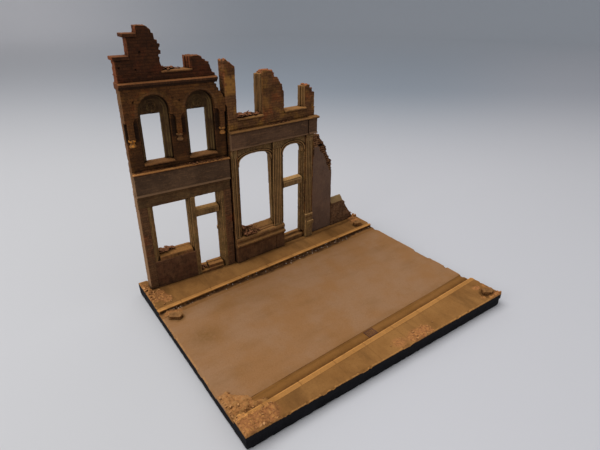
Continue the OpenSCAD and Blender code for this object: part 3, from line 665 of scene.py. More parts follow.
def beads(low, high, foot, head, pitch=1.9, depth=0.35):
    """Rows of small bosses on the front face."""
    def push(co, no):
        wave = np.cos(2 * math.pi * co[:, 0] / pitch) * np.cos(2 * math.pi * co[:, 2] / pitch)
        return depth * wave * facing(no) * inside(co[:, 0], low, high) * inside(co[:, 2], foot, head, 0.8)
    return push


def beyond_arch(co, left, right, spring, crown):
    """How far a place lies outside a basket arch and its straight sides."""
    half, middle = (right - left) / 2, (left + right) / 2
    up = np.maximum(co[:, 2] - spring, 0) / (crown - spring)
    side = np.abs(co[:, 0] - middle) / half
    scale = np.where(up > 0, crown - spring + half, 2 * half) / 2
    return ((side ** BASKET + up ** BASKET) ** (1 / BASKET) - 1) * scale


def archivolt(*arch):
    """Rings of moulding that follow an arch and go on down its sides."""
    def push(co, no):
        out = beyond_arch(co, *arch)
        rings = 0.38 * np.sin(2 * math.pi * out / ARCH_RING) * inside(out, 0.2, 4.6)
        return rings * facing(no) * ramp(co[:, 2], FOOT, FOOT + 2)
    return push


def arch_lines(share, phase, *arch):
    """Painted lines between the rings of an arch as painted shade, or on the rings as painted highlights, as
    the phase sets.
    """
    def mark(co, no):
        out = beyond_arch(co, *arch)
        wave = np.sin(2 * math.pi * (out / ARCH_RING + phase))
        return share * ramp(wave, -0.1, 0.6) * inside(out, 0.1, 4.6) * facing(no) * (co[:, 2] > arch[2])
    return mark


def both(first, second):
    return lambda co, no: np.maximum(first(co, no), second(co, no))


def crumbled(depth=0.6, size=2.4):
    """Broken upper faces."""
    def push(co, no):
        return depth * rough_noise(co, size, 95) * ramp(no[:, 2], 0.2, 0.7)
    return push


def leaf(centre, height):
    """A carved roundel with a leaf."""
    def push(co, no):
        x, z = co[:, 0] - centre, co[:, 2] - height
        r, a = np.hypot(x, z), np.arctan2(z, x)
        ring = 0.5 * np.exp(-((r - 3.9) / 0.5) ** 2)
        petals = 0.45 * np.cos(5 * a + 0.6 * r) * np.exp(-((r - 1.8) / 1.2) ** 2)
        wings = 0.3 * np.cos(1.7 * x) * np.exp(-((np.abs(x) - 7) / 1.6) ** 2 - (z / 3) ** 2)
        return (ring + petals + wings) * facing(no)
    return push


def hacked(depth=0.25, size=1.4):
    """A rough broken face."""
    def push(co, no):
        return depth * rough_noise(co, size, 91)
    return push


# ---------- marks: shares from 0 to 1, from places and normals ----------

def bare_and_lit_end(co, no):
    """The cut left end of the left house, paler up to the board: partly its unpainted cut face, partly
    painted light from the left.
    """
    return (co[:, 0] < 0.9) * ramp(-no[:, 0], 0.5, 0.8) * (0.3 + 0.55 * (1 - ramp(co[:, 2], 104, 110)))


def crescent_shade(co, no):
    """Painted shade behind the hanging piers, and thinner patchy darkening over the wall below them."""
    total = np.zeros(len(co))
    for centre in CORBELS:
        across = np.abs(co[:, 0] - centre)
        total = np.maximum(total, inside(across, 1.8, 6.4, 1.2) * inside(co[:, 2], 133, 150, 3))
    below = 0.5 * (1 - ramp(co[:, 2], 124, 136)) * ramp(noise(co, 5, 64), -0.9, 0.3)
    return np.maximum(0.9 * total, below) * (co[:, 1] < 4)


def board_lip(co, no):
    """The paler lip along the foot of a fascia board, and the cut end of the left one."""
    lip = 0.45 * (co[:, 1] < -0.9) * inside(co[:, 2] % 25.5, 12.4, 14.2, 0.1) * facing(no)
    return np.maximum(lip, bare_and_lit_end(co, no))


def stripes(pitch, foot=0.0, head=400.0, share=0.8, phase=0.0):
    """Painted shade as dark lines along the hollows of an upright moulding; with the phase moved half a
    pitch, painted highlights along its ridges.
    """
    def mark(co, no):
        wave = np.cos(2 * math.pi * ((co[:, 1] - co[:, 0]) / pitch + phase))
        return share * ramp(wave, 0.0, 0.7) * inside(co[:, 2], foot, head, 0.8) * (np.abs(no[:, 2]) < 0.6)
    return mark


def reveals(co, no):
    """The sides of an opening that face left and catch the light."""
    return 0.4 * ramp(-no[:, 0], 0.4, 0.8) * ramp(noise(co, 7, 8), -0.8, 0.4)


def nothing(co, no):
    return np.zeros(len(co))


# ---------- brickwork and mouldings from the CAD shapes ----------

NICHES = (23.4, 61.2)
NICHE_RADIUS = 12.5
NICHE_SPRING = 155.7
CORBELS = (4.1, 42.3, 79.9)
# heights on the right shop front: foot and head of the fluting, spring and crown of the arches
FOOT, HEAD, SPRING, CROWN = 28, 107, 99, 107.4


def cast(node, front, kind, paint, slot, voxel=0.42, swell=0.1, rough=0.07, chips=0.6, soften=0,
         reliefs=(), wash_and_shade=nothing, light=nothing, seed=1):
    """A CAD node as a detailed piece: fine mesh, relief, and chipped and rounded free edges."""
    me = voxel_mesh(node, front, voxel)
    co, no, edges = read_points(me), read_normals(me), read_edges(me)
    if soften:
        smooth = relaxed(co, edges, soften)
        keep = ramp(co[:, 1], 6.2, 7.2)[:, None]
        co = co * keep + smooth * (1 - keep)
    soft = relaxed(co, edges, 8)
    edge = np.einsum("ij,ij->i", co - soft, no) / voxel
    joint = joined(node, front.world(co + no * 0.4), np.abs(edge) > 0.08)
    edge = edge * (1 - joint)
    chip = np.clip(edge * 1.5, 0, 1) * ramp(noise(co, 2.6, seed + 5), 0.0, 0.5) * chips
    out = co + (soft - co) * chip[:, None] - (soft - co) * (1.2 * joint)[:, None]
    push = swell + rough * rough_noise(co, 1.8, seed + 3)
    for relief in reliefs:
        push = push + relief(co, no)
    out = out + no * push[:, None]
    write_points(me, front.world(out) * MM)
    store(me, "edge", np.clip(edge, -1, 1))
    # This mark holds dirt and also painted shade in hollows, holes and behind parts.
    store(me, "wash_and_shade", np.clip(wash_and_shade(co, no), 0, 1))
    store(me, "light", np.clip(light(co, no), 0, 1))
    make_piece(node + "_" + kind, me, PAINTS[paint], node)


def walls():
    """Brick and smooth walls of both houses."""
    for i, (node, paint, depth) in enumerate((
        ("left_end_pier", "brick_pier", 0.14), ("left_stall_wall", "mottled", 0.1),
        ("left_door_pier", "brick_pier", 0.14), ("left_lintel_band", "plaster", 0.0),
    )):
        cast(node, LEFT, "wall", paint, "brick" if depth else "carved_trim",
             reliefs=(masonry(11 + i, depth),), light=bare_and_lit_end, seed=11 + i)
    upper = holes(((44.2, 161.8), (8.6, 164.0)), 0.6, 1.0)
    cast("left_upper_wall", LEFT, "brick", "brick_left", "brick",
         reliefs=(masonry(21, 0.14), crumbled()), wash_and_shade=crescent_shade, light=bare_and_lit_end, seed=21)

    def rims(co, no):
        """Raised lips round the two arches."""
        total = np.zeros(len(co))
        for centre in NICHES:
            r = np.hypot(co[:, 0] - centre, co[:, 2] - NICHE_SPRING)
            lip = np.exp(-((r - NICHE_RADIUS - 1.5) / 0.9) ** 2)
            total = np.maximum(total, lip * (co[:, 2] > NICHE_SPRING - 6))
        return total

    def lip_relief(co, no):
        return 0.6 * rims(co, no) * facing(no)

    # Painted highlight along the raised lips of the arches, besides the pale left end.
    def arcade_light(co, no):
        return np.maximum(bare_and_lit_end(co, no), 0.12 * rims(co, no) * ramp(noise(co, 4, 61), -0.6, 0.3))

    cast("left_arcade", LEFT, "brick", "brick_left", "brick",
         reliefs=(masonry(22, 0.12), upper, crumbled(), lip_relief), light=arcade_light, seed=22)

    def lit_returns(co, no):
        """Painted light on the left-facing sides of the gable, which makes them redder and paler."""
        patchy = 0.42 * ramp(-no[:, 0], 0.5, 0.85) * ramp(noise(co, 3, 48), -1, 0.2)
        return np.maximum(bare_and_lit_end(co, no), patchy)

    stack = holes(((18.6, 198.9), (2.6, 188.9), (14.2, 186.9)), 0.62, 1.0)
    for i, node in enumerate(("left_gable_stack", "left_gable_parapet", "left_gable_pier")):
        cast(node, LEFT, "brick", "gable", "brick", reliefs=(masonry(31 + i, 0.14), stack, crumbled(0.4)),
             light=lit_returns, rough=0.1, seed=31 + i)

    def ochre(co, no):
        """A yellower patch half way up the first broken pier, and small ones on the others."""
        first = (co[:, 0] < 10) * inside(co[:, 2], 162, 177, 2)
        patchy = np.maximum(first, 0.5 * ramp(noise(co, 7, 44), 0.25, 0.5))
        return 0.6 * patchy * ramp(noise(co, 2.4, 45), -0.9, 0.2) * facing(no)

    def sooty(co, no):
        """Darker tops of the broken piers, and a dark band across the second one."""
        top = np.where(co[:, 0] < 10, inside(co[:, 2], 177, 186, 1.5), inside(co[:, 2], 152, 166, 2.5))
        return 0.4 * top * (co[:, 2] > 145) * ramp(noise(co, 6, 46), -0.7, 0.2) * facing(no)

    for i, name in enumerate(("party_pier", "middle_pier", "end_pier", "entablature_wall", "parapet",
                              "upper_piers")):
        cast("right_" + name, RIGHT, "brick", "brick_right", "brick",
             reliefs=(masonry(41 + i, 0.18), crumbled(0.8)), wash_and_shade=sooty, light=ochre, seed=41 + i)


def mouldings():
    """Sills, ledges, cornices, copings and steps."""
    fine = {"voxel": 0.36, "rough": 0.06, "chips": 0.8}
    for i, (name, paint) in enumerate((
        ("fascia_ledge", "trim_left"), ("cornice", "cornice"), ("gable_copings", "gable"),
        ("gable_window_sill", "sill"), ("window_sill_1", "sill"), ("window_sill_2", "sill"),
        ("shop_sill", "shop_sill"), ("door_step", "shop_sill"),
    )):
        cast("left_" + name, LEFT, "moulding", paint, "carved_trim", light=bare_and_lit_end, seed=51 + i, **fine)

    def gold(co, no):
        share = np.where(co[:, 0] < 10, 0.75, np.where(co[:, 0] > 70, 0.35, 0.0))
        return share * ramp(noise(co, 1.3, 7), -0.7, 0.3)

    cast("left_corbels", LEFT, "moulding", "corbel", "carved_trim", voxel=0.28, light=gold, seed=61)
    # Painted shade in the hollows of the window jambs and painted highlights on their ridges.
    jamb_shade, jamb_highlight = stripes(1.7, share=0.95), stripes(1.7, share=0.7, phase=0.5)
    for i, name in enumerate(("entablature_ledge", "window_sills", "window_jambs", "door_step",
                              "shop_sill", "stall_ledges")):
        jambs = name == "window_jambs"
        cast("right_" + name, RIGHT, "moulding", "trim_right", "carved_trim",
             wash_and_shade=jamb_shade if jambs else nothing, light=jamb_highlight if jambs else nothing,
             seed=71 + i, **fine)
    cast("right_stall", RIGHT, "wall", "stall", "carved_trim", seed=79)
    capitals = (beads(46, 55.6, 107.8, 114.2), beads(87.4, 95.8, 111.8, 114.2))
    strips = (flutes(46.2, 55.4, FOOT, HEAD, depth=0.5), flutes(88, 95.4, FOOT, 111, depth=0.5),
              flutes(1, 5.6, FOOT, 113))
    # The pilasters get painted shade in their hollows and painted highlights on their ridges.
    cast("right_pilasters", RIGHT, "moulding", "frame_right", "carved_trim", voxel=0.34, rough=0.05,
         reliefs=capitals + strips, wash_and_shade=stripes(2.1, FOOT, HEAD, 0.7),
         light=stripes(2.1, FOOT, HEAD, 0.5, 0.5), seed=81)
    cast("right_pilaster_plinth", RIGHT, "moulding", "frame_right", "carved_trim", voxel=0.36, seed=82)


def joinery():
    """Frames of the shop fronts and of the upper windows."""
    fine = {"voxel": 0.34, "rough": 0.05}
    for i, name in enumerate(("shop_frame", "door_post", "transom", "door_jamb", "latch_keep")):
        cast("left_" + name, LEFT, "joinery", "frame_left", "painted_frame", chips=0.5, seed=91 + i, **fine)
    for i, centre in enumerate(NICHES):
        cast("left_window_frame_%d" % (i + 1), LEFT, "joinery", "niche", "painted_frame", voxel=0.36,
             rough=0.05, soften=26, reliefs=(leaf(centre, 158.4),), light=reveals, seed=97 + i)
    for i, (name, arch) in enumerate((
        ("right_shop_arch", (9.4, 44.4, SPRING, CROWN)), ("right_door_arch", (59.4, 83.4, SPRING, CROWN)),
    )):
        # Painted shade in the hollows of the jambs and between the arch rings, and painted highlights on
        # their ridges and rings.
        cast(name, RIGHT, "joinery", "frame_right", "painted_frame", seed=101 + i,
             reliefs=(archivolt(*arch), beads(8, 87, 109.6, 114)),
             wash_and_shade=both(stripes(2.3, FOOT, SPRING, 0.75), arch_lines(0.85, 0.5, *arch)),
             light=both(stripes(2.3, FOOT, SPRING, 0.5, 0.5), arch_lines(0.7, 0.0, *arch)), **fine)
    strip = (flutes(56.3, 59.1, FOOT, SPRING - 2, 1.4, 0.45),)
    # The door jamb gets painted shade along the hollows of its mouldings.
    for i, (name, wash_and_shade) in enumerate((("transom", nothing), ("door_jamb", stripes(1.5)))):
        cast("right_" + name, RIGHT, "joinery", "frame_right", "painted_frame", reliefs=strip, wash_and_shade=wash_and_shade,
             seed=105 + i, **fine)


def boards():
    """The fascia boards of both houses."""
    for side, front in (("left", LEFT), ("right", RIGHT)):
        cast(side + "_fascia_board", front, "board", "board_" + side, "fascia_board", rough=0.03,
             light=board_lip)


def side_walls():
    """The rendered side wall, with bare brick along its broken edge, and the low wall with its sloped cap."""
    def broken(co, no):
        edge = np.interp(co[:, 0], (98.4, 107.4, 114.4, 123.4, 128), (110.4, 109.6, 99.4, 81.6, 77))
        near = ramp(co[:, 2] - edge + 3 * noise(co, 4, 5), -14, -11.5)
        return np.maximum(near, (1 - ramp(co[:, 0], 100.9, 101.9)) * ramp(co[:, 2], 84, 88))

    def bricks(co, no):
        return (masonry(111, 0.9)(co, no) - 0.4 * facing(no) + hacked(0.55)(co, no)) * broken(co, no)

    gaps = holes(((100.3, 104.4), (100.3, 98.6), (100.3, 90.6)), 1.2, 2.4)

    # Painted shade in the holes and deep gaps of the broken brick, and patchy dirt towards the outer end.
    def gap_shade_and_dirt(co, no):
        outer = ramp(co[:, 0], 105, 111) * ramp(noise(co, 3, 63), -1, 0.6)
        rough = broken(co, no) * (0.8 * (bricks(co, no) < -1.0) + 0.6 * outer)
        return np.clip(-1.2 * gaps(co, no), 0, 1) + rough

    def cap(co, no):
        return 0.8 * ramp(co[:, 2], 27.0, 27.8)

    cast("side_wall", RIGHT, "render", "render", "render", rough=0.05, reliefs=(bricks, gaps), wash_and_shade=gap_shade_and_dirt,
         light=broken)
    cast("low_wall", RIGHT, "wall", "low_wall", "brick", rough=0.16,
         reliefs=(masonry(113, 0.12), hacked(0.2)), light=cap)


walls()
mouldings()
joinery()
boards()
side_walls()

# ---------- loose stones ----------

class Heap:
    """Angular stones, gathered into one mesh."""

    def __init__(self, seed):
        self.rng = np.random.default_rng(seed)
        bm = bmesh.new()
        bmesh.ops.create_icosphere(bm, subdivisions=2, radius=1)
        bm.verts.index_update()
        ball = np.array([v.co[:] for v in bm.verts])
        self.faces = np.array([[v.index for v in f.verts] for f in bm.faces])
        bm.free()
        self.shapes = [self.cut(ball.copy()) for _ in range(9)]
        self.points, self.tones = [], []

    def cut(self, v, cuts=9):
        for _ in range(cuts):
            n = self.rng.normal(size=3)
            n /= np.linalg.norm(n)
            over = np.clip(v @ n - self.rng.uniform(0.35, 0.72), 0, None)
            v -= over[:, None] * n
        return v / np.abs(v).max(0)

    def add(self, x, y, bottom, size, sunk=0.25):
        """A stone with these three half sizes, that rests on this height."""
        a, b = self.rng.uniform(0, 2 * math.pi), self.rng.normal(0, 0.25)
        turn = np.array([[math.cos(a), -math.sin(a), 0], [math.sin(a), math.cos(a), 0], [0, 0, 1]])
        tilt = np.array([[1, 0, 0], [0, math.cos(b), -math.sin(b)], [0, math.sin(b), math.cos(b)]])
        v = (self.shapes[self.rng.integers(len(self.shapes))] * size) @ tilt.T @ turn.T
        v += np.array([x, y, bottom - v[:, 2].min() - sunk * size[2]])
        self.points.append(v)
        self.tones.append(self.rng.uniform(0, 1))

    def pebble(self, x, y, bottom, r):
        """A roundish stone of this half size."""
        self.add(x, y, bottom, np.array([r, r * self.rng.uniform(0.6, 1), r * self.rng.uniform(0.5, 0.9)]))

    def piece(self, name, paint, node):
        n = len(self.shapes[0])
        points = np.concatenate(self.points)
        faces = np.concatenate([self.faces + n * i for i in range(len(self.points))])
        me = new_mesh(name, (points * MM).tolist(), faces.tolist())
        tones = np.repeat(self.tones, n)
        store(me, "light", 0.6 * ramp(tones, 0.6, 1))
        store(me, "wash_and_shade", 0.3 * (1 - ramp(tones, 0, 0.3)))
        make_piece(name, me, PAINTS[paint], node, crease=32)


FAR_KERB = (48.2, 69.0)
NEAR_KERB = (-84.3, -67.8)
KERB_STONE = 31.0
# widths of the gutters and the kerbs
NEAR_GUTTER, FAR_GUTTER = 11, 8
NEAR_WIDTH, FAR_WIDTH = 4.6, 3.6
STONES = loose_parts("street_rubble")
# gravel heaps: middle, reach along x and y, heights of the foot and of the top above the table
HEAPS = (
    (-128, -72, 19, 17, 8.6, 13.2), (-121, -93, 36, 21, 8.6, 15.6), (28, -100, 19, 12, 11.8, 14.2),
    (125, -99, 15, 9, 11.8, 13.8), (-129, 82, 6, 24, 11.6, 14.2), (-124, 68, 13, 14, 11.6, 13.6),
    (124, 97, 15, 9, 11.6, 13.6), (-118, 42, 12, 8, 8.8, 10.2),
)


def ground_level(x, y):
    """Top of the ground strip at a place on the base."""
    far = line_at(x, *FAR_KERB)
    near = line_at(x, *NEAR_KERB)
    if y > far:
        return FAR_TOP
    if y < near:
        return NEAR_TOP
    return ROAD_TOP if near + NEAR_GUTTER < y < far - FAR_GUTTER else GUTTER_TOP


def mound(p, bottom):
    """Height of the gravel that lies round the loose stones, above this ground level."""
    total, level = np.zeros(len(p)), np.zeros(len(p))
    for low, high in STONES:
        reach = 0.6 * max(high[0] - low[0], high[1] - low[1]) + 1.0
        d = ((p[:, 0] - (low[0] + high[0]) / 2) ** 2 + (p[:, 1] - (low[1] + high[1]) / 2) ** 2) / reach ** 2
        share = np.exp(-d)
        total += share
        level += share * low[2]
    cover = ramp(total, 0.3, 1.1)
    fill = np.clip(level / np.maximum(total, 1e-6) - bottom, 0, 2.4)
    height = cover * (0.5 + 0.4 * np.clip(total - 1, 0, 1.5) + fill)
    for x, y, across, along, foot, top in HEAPS:
        d = np.hypot((p[:, 0] - x) / across, (p[:, 1] - y) / along) + 0.22 * rough_noise(p, 7, 74, 2)
        low = min(foot, bottom)
        height = np.maximum(height, low + (top - low) * (1 - ramp(d, 0.15, 1.0)) - bottom)
    return height


def gravel(p, bottom):
    """The mound with the lumps of its surface."""
    body = mound(p, bottom)
    cover = ramp(body, 0.1, 0.6)
    lumps = np.abs(noise(p, 3.4, 71)) * 0.9 + np.abs(noise(p, 1.5, 72)) * 0.7
    return body * 0.85 + cover * lumps - 0.3 * cover


def on_base(x, y):
    """The place, kept a little inside the edge of the base."""
    across, along = HALF_LENGTH - INSET, HALF_DEPTH - INSET
    return np.clip(x, -across, across), np.clip(y, -along, along)


def street_stones():
    """Small stones round the loose ones of the CAD model, and over the gravel heaps."""
    heap = Heap(5)
    rng = heap.rng
    for low, high in STONES:
        x, y = (low[:2] + high[:2]) / 2
        reach = max(high[0] - low[0], high[1] - low[1]) / 2
        for _ in range(3):
            px, py = on_base(x + rng.normal(0, 0.9 * reach), y + rng.normal(0, 0.8 * reach))
            r = 0.3 + 0.8 * rng.uniform() ** 2.5
            level = ground_level(px, py)
            heap.pebble(px, py, level + mound(np.array([[px, py, 0]]), level)[0] * 0.85, r)
    for x, y, across, along, _, _ in HEAPS:
        for _ in range(int(0.2 * across * along)):
            a, d = rng.uniform(0, 2 * math.pi), rng.uniform() ** 0.5
            px, py = on_base(x + across * d * math.cos(a), y + along * d * math.sin(a))
            r = 0.3 + (1.8 if y > 50 else 0.9) * rng.uniform() ** 3
            level = ground_level(px, py)
            depth = mound(np.array([[px, py, 0]]), level)[0]
            if depth > 0.3:
                heap.pebble(px, py, level + depth * 0.85, r)
    heap.piece("street_rubble_stones", "rubble", "street_rubble")


def wall_stones():
    """Stones and slabs on the broken walls, sills and ledges."""
    heap = Heap(9)
    rng = heap.rng
    for low, high in loose_parts("wall_rubble"):
        size = (high - low) / 2
        x, y = (low[:2] + high[:2]) / 2
        heap.add(x, y, low[2], size * (1.5, 1.1, 1.2), sunk=0.1)
        for _ in range(10):
            r = size[:2].mean() * rng.uniform(0.3, 0.8)
            px, py = x + rng.normal(0, 0.9 * size[0]), y + rng.normal(0, 0.5 * size[1])
            pz = low[2] + rng.uniform(0, 0.9) * size[2]
            heap.add(px, py, pz, np.array([r * 1.5, r * 0.8, r * rng.uniform(0.35, 0.7)]), sunk=0.1)
        if rng.uniform() < 0.4:
            heap.add(x, y, low[2] + size[2] * 0.9, size * (2.0, 0.8, 0.45), sunk=0.1)
    # debris rows: front, reach along and behind it, height of the foot, slope, number and size of the stones
    for front, s0, s1, d0, d1, foot, slope, count, size in (
        (RIGHT, 10.5, 29, 1.2, 8, 27.8, 0.85, 80, 2.2), (RIGHT, 10.4, 31, 2.6, 9, 141.6, 0.0, 80, 2.9),
        (RIGHT, 37, 60, 2.4, 3.6, 131.4, 0.0, 30, 0.8), (LEFT, 13.4, 28, 3.4, 9, 32.3, 0.0, 40, 2.4),
        (LEFT, 49.2, 55.5, 2, 7, 4.4, 0.0, 34, 1.6), (LEFT, 34.5, 50, 3, 8.6, 185.6, 0.0, 34, 1.6),
        (LEFT, 46, 78, 0.2, 2.0, 109.1, 0.0, 44, 0.7), (RIGHT, 146, 152, 4.5, 8, 22.5, 0.0, 14, 1.8),
        (RIGHT, 152, 157, 4.5, 8, 13.0, 0.0, 14, 1.8), (RIGHT, 157, 163, 4.5, 8, 5.5, 0.0, 16, 1.8),
    ):
        for _ in range(count):
            t = rng.uniform() ** 1.4
            s, d = s0 + (s1 - s0) * t, rng.uniform(d0, d1)
            r = size * rng.uniform(0.35, 1.0) * (1.1 - 0.6 * t)
            z = foot + slope * max(d - 3, 0) + rng.uniform(0, 0.8) * r * (1 - t)
            place = front.world(np.array([[s, d, z]]))[0]
            heap.add(*place, np.array([r * 1.4, r * 0.9, r * rng.uniform(0.3, 0.6)]), sunk=0.1)
    heap.piece("wall_rubble_stones", "debris", "wall_rubble")


# ---------- ground ----------

def line_at(x, left, right):
    return left + (right - left) * (x + HALF_LENGTH) / (2 * HALF_LENGTH)


def offset(line, by):
    return (line[0] + by, line[1] + by)


def beyond(p, line):
    return p[:, 1] - line_at(p[:, 0], *line)


def plain(p):
    return np.zeros(len(p))


def ground(node, low, high, top, step, paint, relief, wash_and_shade=plain, light=plain, face=0.0):
    """A strip of ground as a height field with closed sides, between two lines across the base."""
    columns = int(2 * HALF_LENGTH / step) + 1
    rows = max(int(max(high[0] - low[0], high[1] - low[1]) / step), 6) + 1
    along, across = np.linspace(-HALF_LENGTH, HALF_LENGTH, columns), np.linspace(0, 1, rows)
    X, T = np.meshgrid(along, across, indexing="ij")
    Y = line_at(X, *low) + (line_at(X, *high) - line_at(X, *low)) * T
    P = np.stack([X.ravel(), Y.ravel(), np.zeros(X.size)], 1)
    Z = top + (relief(P) + gravel(P, top)).reshape(X.shape)
    border = np.minimum(np.minimum(X + HALF_LENGTH, HALF_LENGTH - X), HALF_DEPTH - np.abs(Y))
    Z = Z - 0.3 * (1 - ramp(border, 0, 0.9)) * (0.7 + 0.5 * noise(P, 2.5, 3).reshape(X.shape))
    bites = ramp(rough_noise(P, 7, 13), 0.25, 0.8).reshape(X.shape)
    Z = Z - 1.3 * bites * (1 - ramp(border, 0.3, 2.2))
    tops = np.stack([X.ravel(), Y.ravel(), Z.ravel()], 1)
    index = np.arange(X.size).reshape(X.shape)
    rim = np.concatenate([index[:-1, 0], index[-1, :-1], index[:0:-1, -1], index[0, :0:-1]])
    rings = []
    for share in (0.25, 0.5, 0.75, 1.0):
        ring = tops[rim].copy()
        ring[:, 2] += (BOARD_TOP - ring[:, 2]) * share
        rings.append(ring)
    points = np.concatenate([tops] + rings)
    a, b, c, d = index[:-1, :-1], index[1:, :-1], index[1:, 1:], index[:-1, 1:]
    faces = np.stack([a.ravel(), b.ravel(), c.ravel(), d.ravel()], 1).tolist()
    above, m = rim, len(rim)
    for k in range(len(rings)):
        below = X.size + k * m + np.arange(m)
        faces += np.stack([above, below, np.roll(below, -1), np.roll(above, -1)], 1).tolist()
        above = below
    faces.append(above[::-1].tolist())
    me = new_mesh(node, (points * MM).tolist(), faces)
    sides = np.zeros(m * len(rings))
    # Dark marks on the ground: dirt, washes and painted shade.
    store(me, "wash_and_shade", np.clip(np.concatenate([wash_and_shade(P), sides + face]), 0, 1))
    store(me, "light", np.clip(np.concatenate([light(P), sides]), 0, 1))
    store(me, "stony", np.concatenate([mound(P, top), sides]))
    from_rim = np.abs(np.abs(points[:, :2]) - (HALF_LENGTH, HALF_DEPTH))
    store(me, "outer", from_rim.min(1) < 0.01)
    co = read_points(me) / MM
    free = np.minimum(HALF_LENGTH - np.abs(co[:, 0]), HALF_DEPTH - np.abs(co[:, 1])) < 1.2
    share = np.maximum(free, ramp(np.concatenate([mound(P, top), sides]), 0.1, 0.5))
    store(me, "edge", share * np.clip((co - relaxed(co, read_edges(me), 5))[:, 2] / 0.3, -1, 1))
    make_piece(node + "_ground", me, PAINTS[paint], node, crease=50)


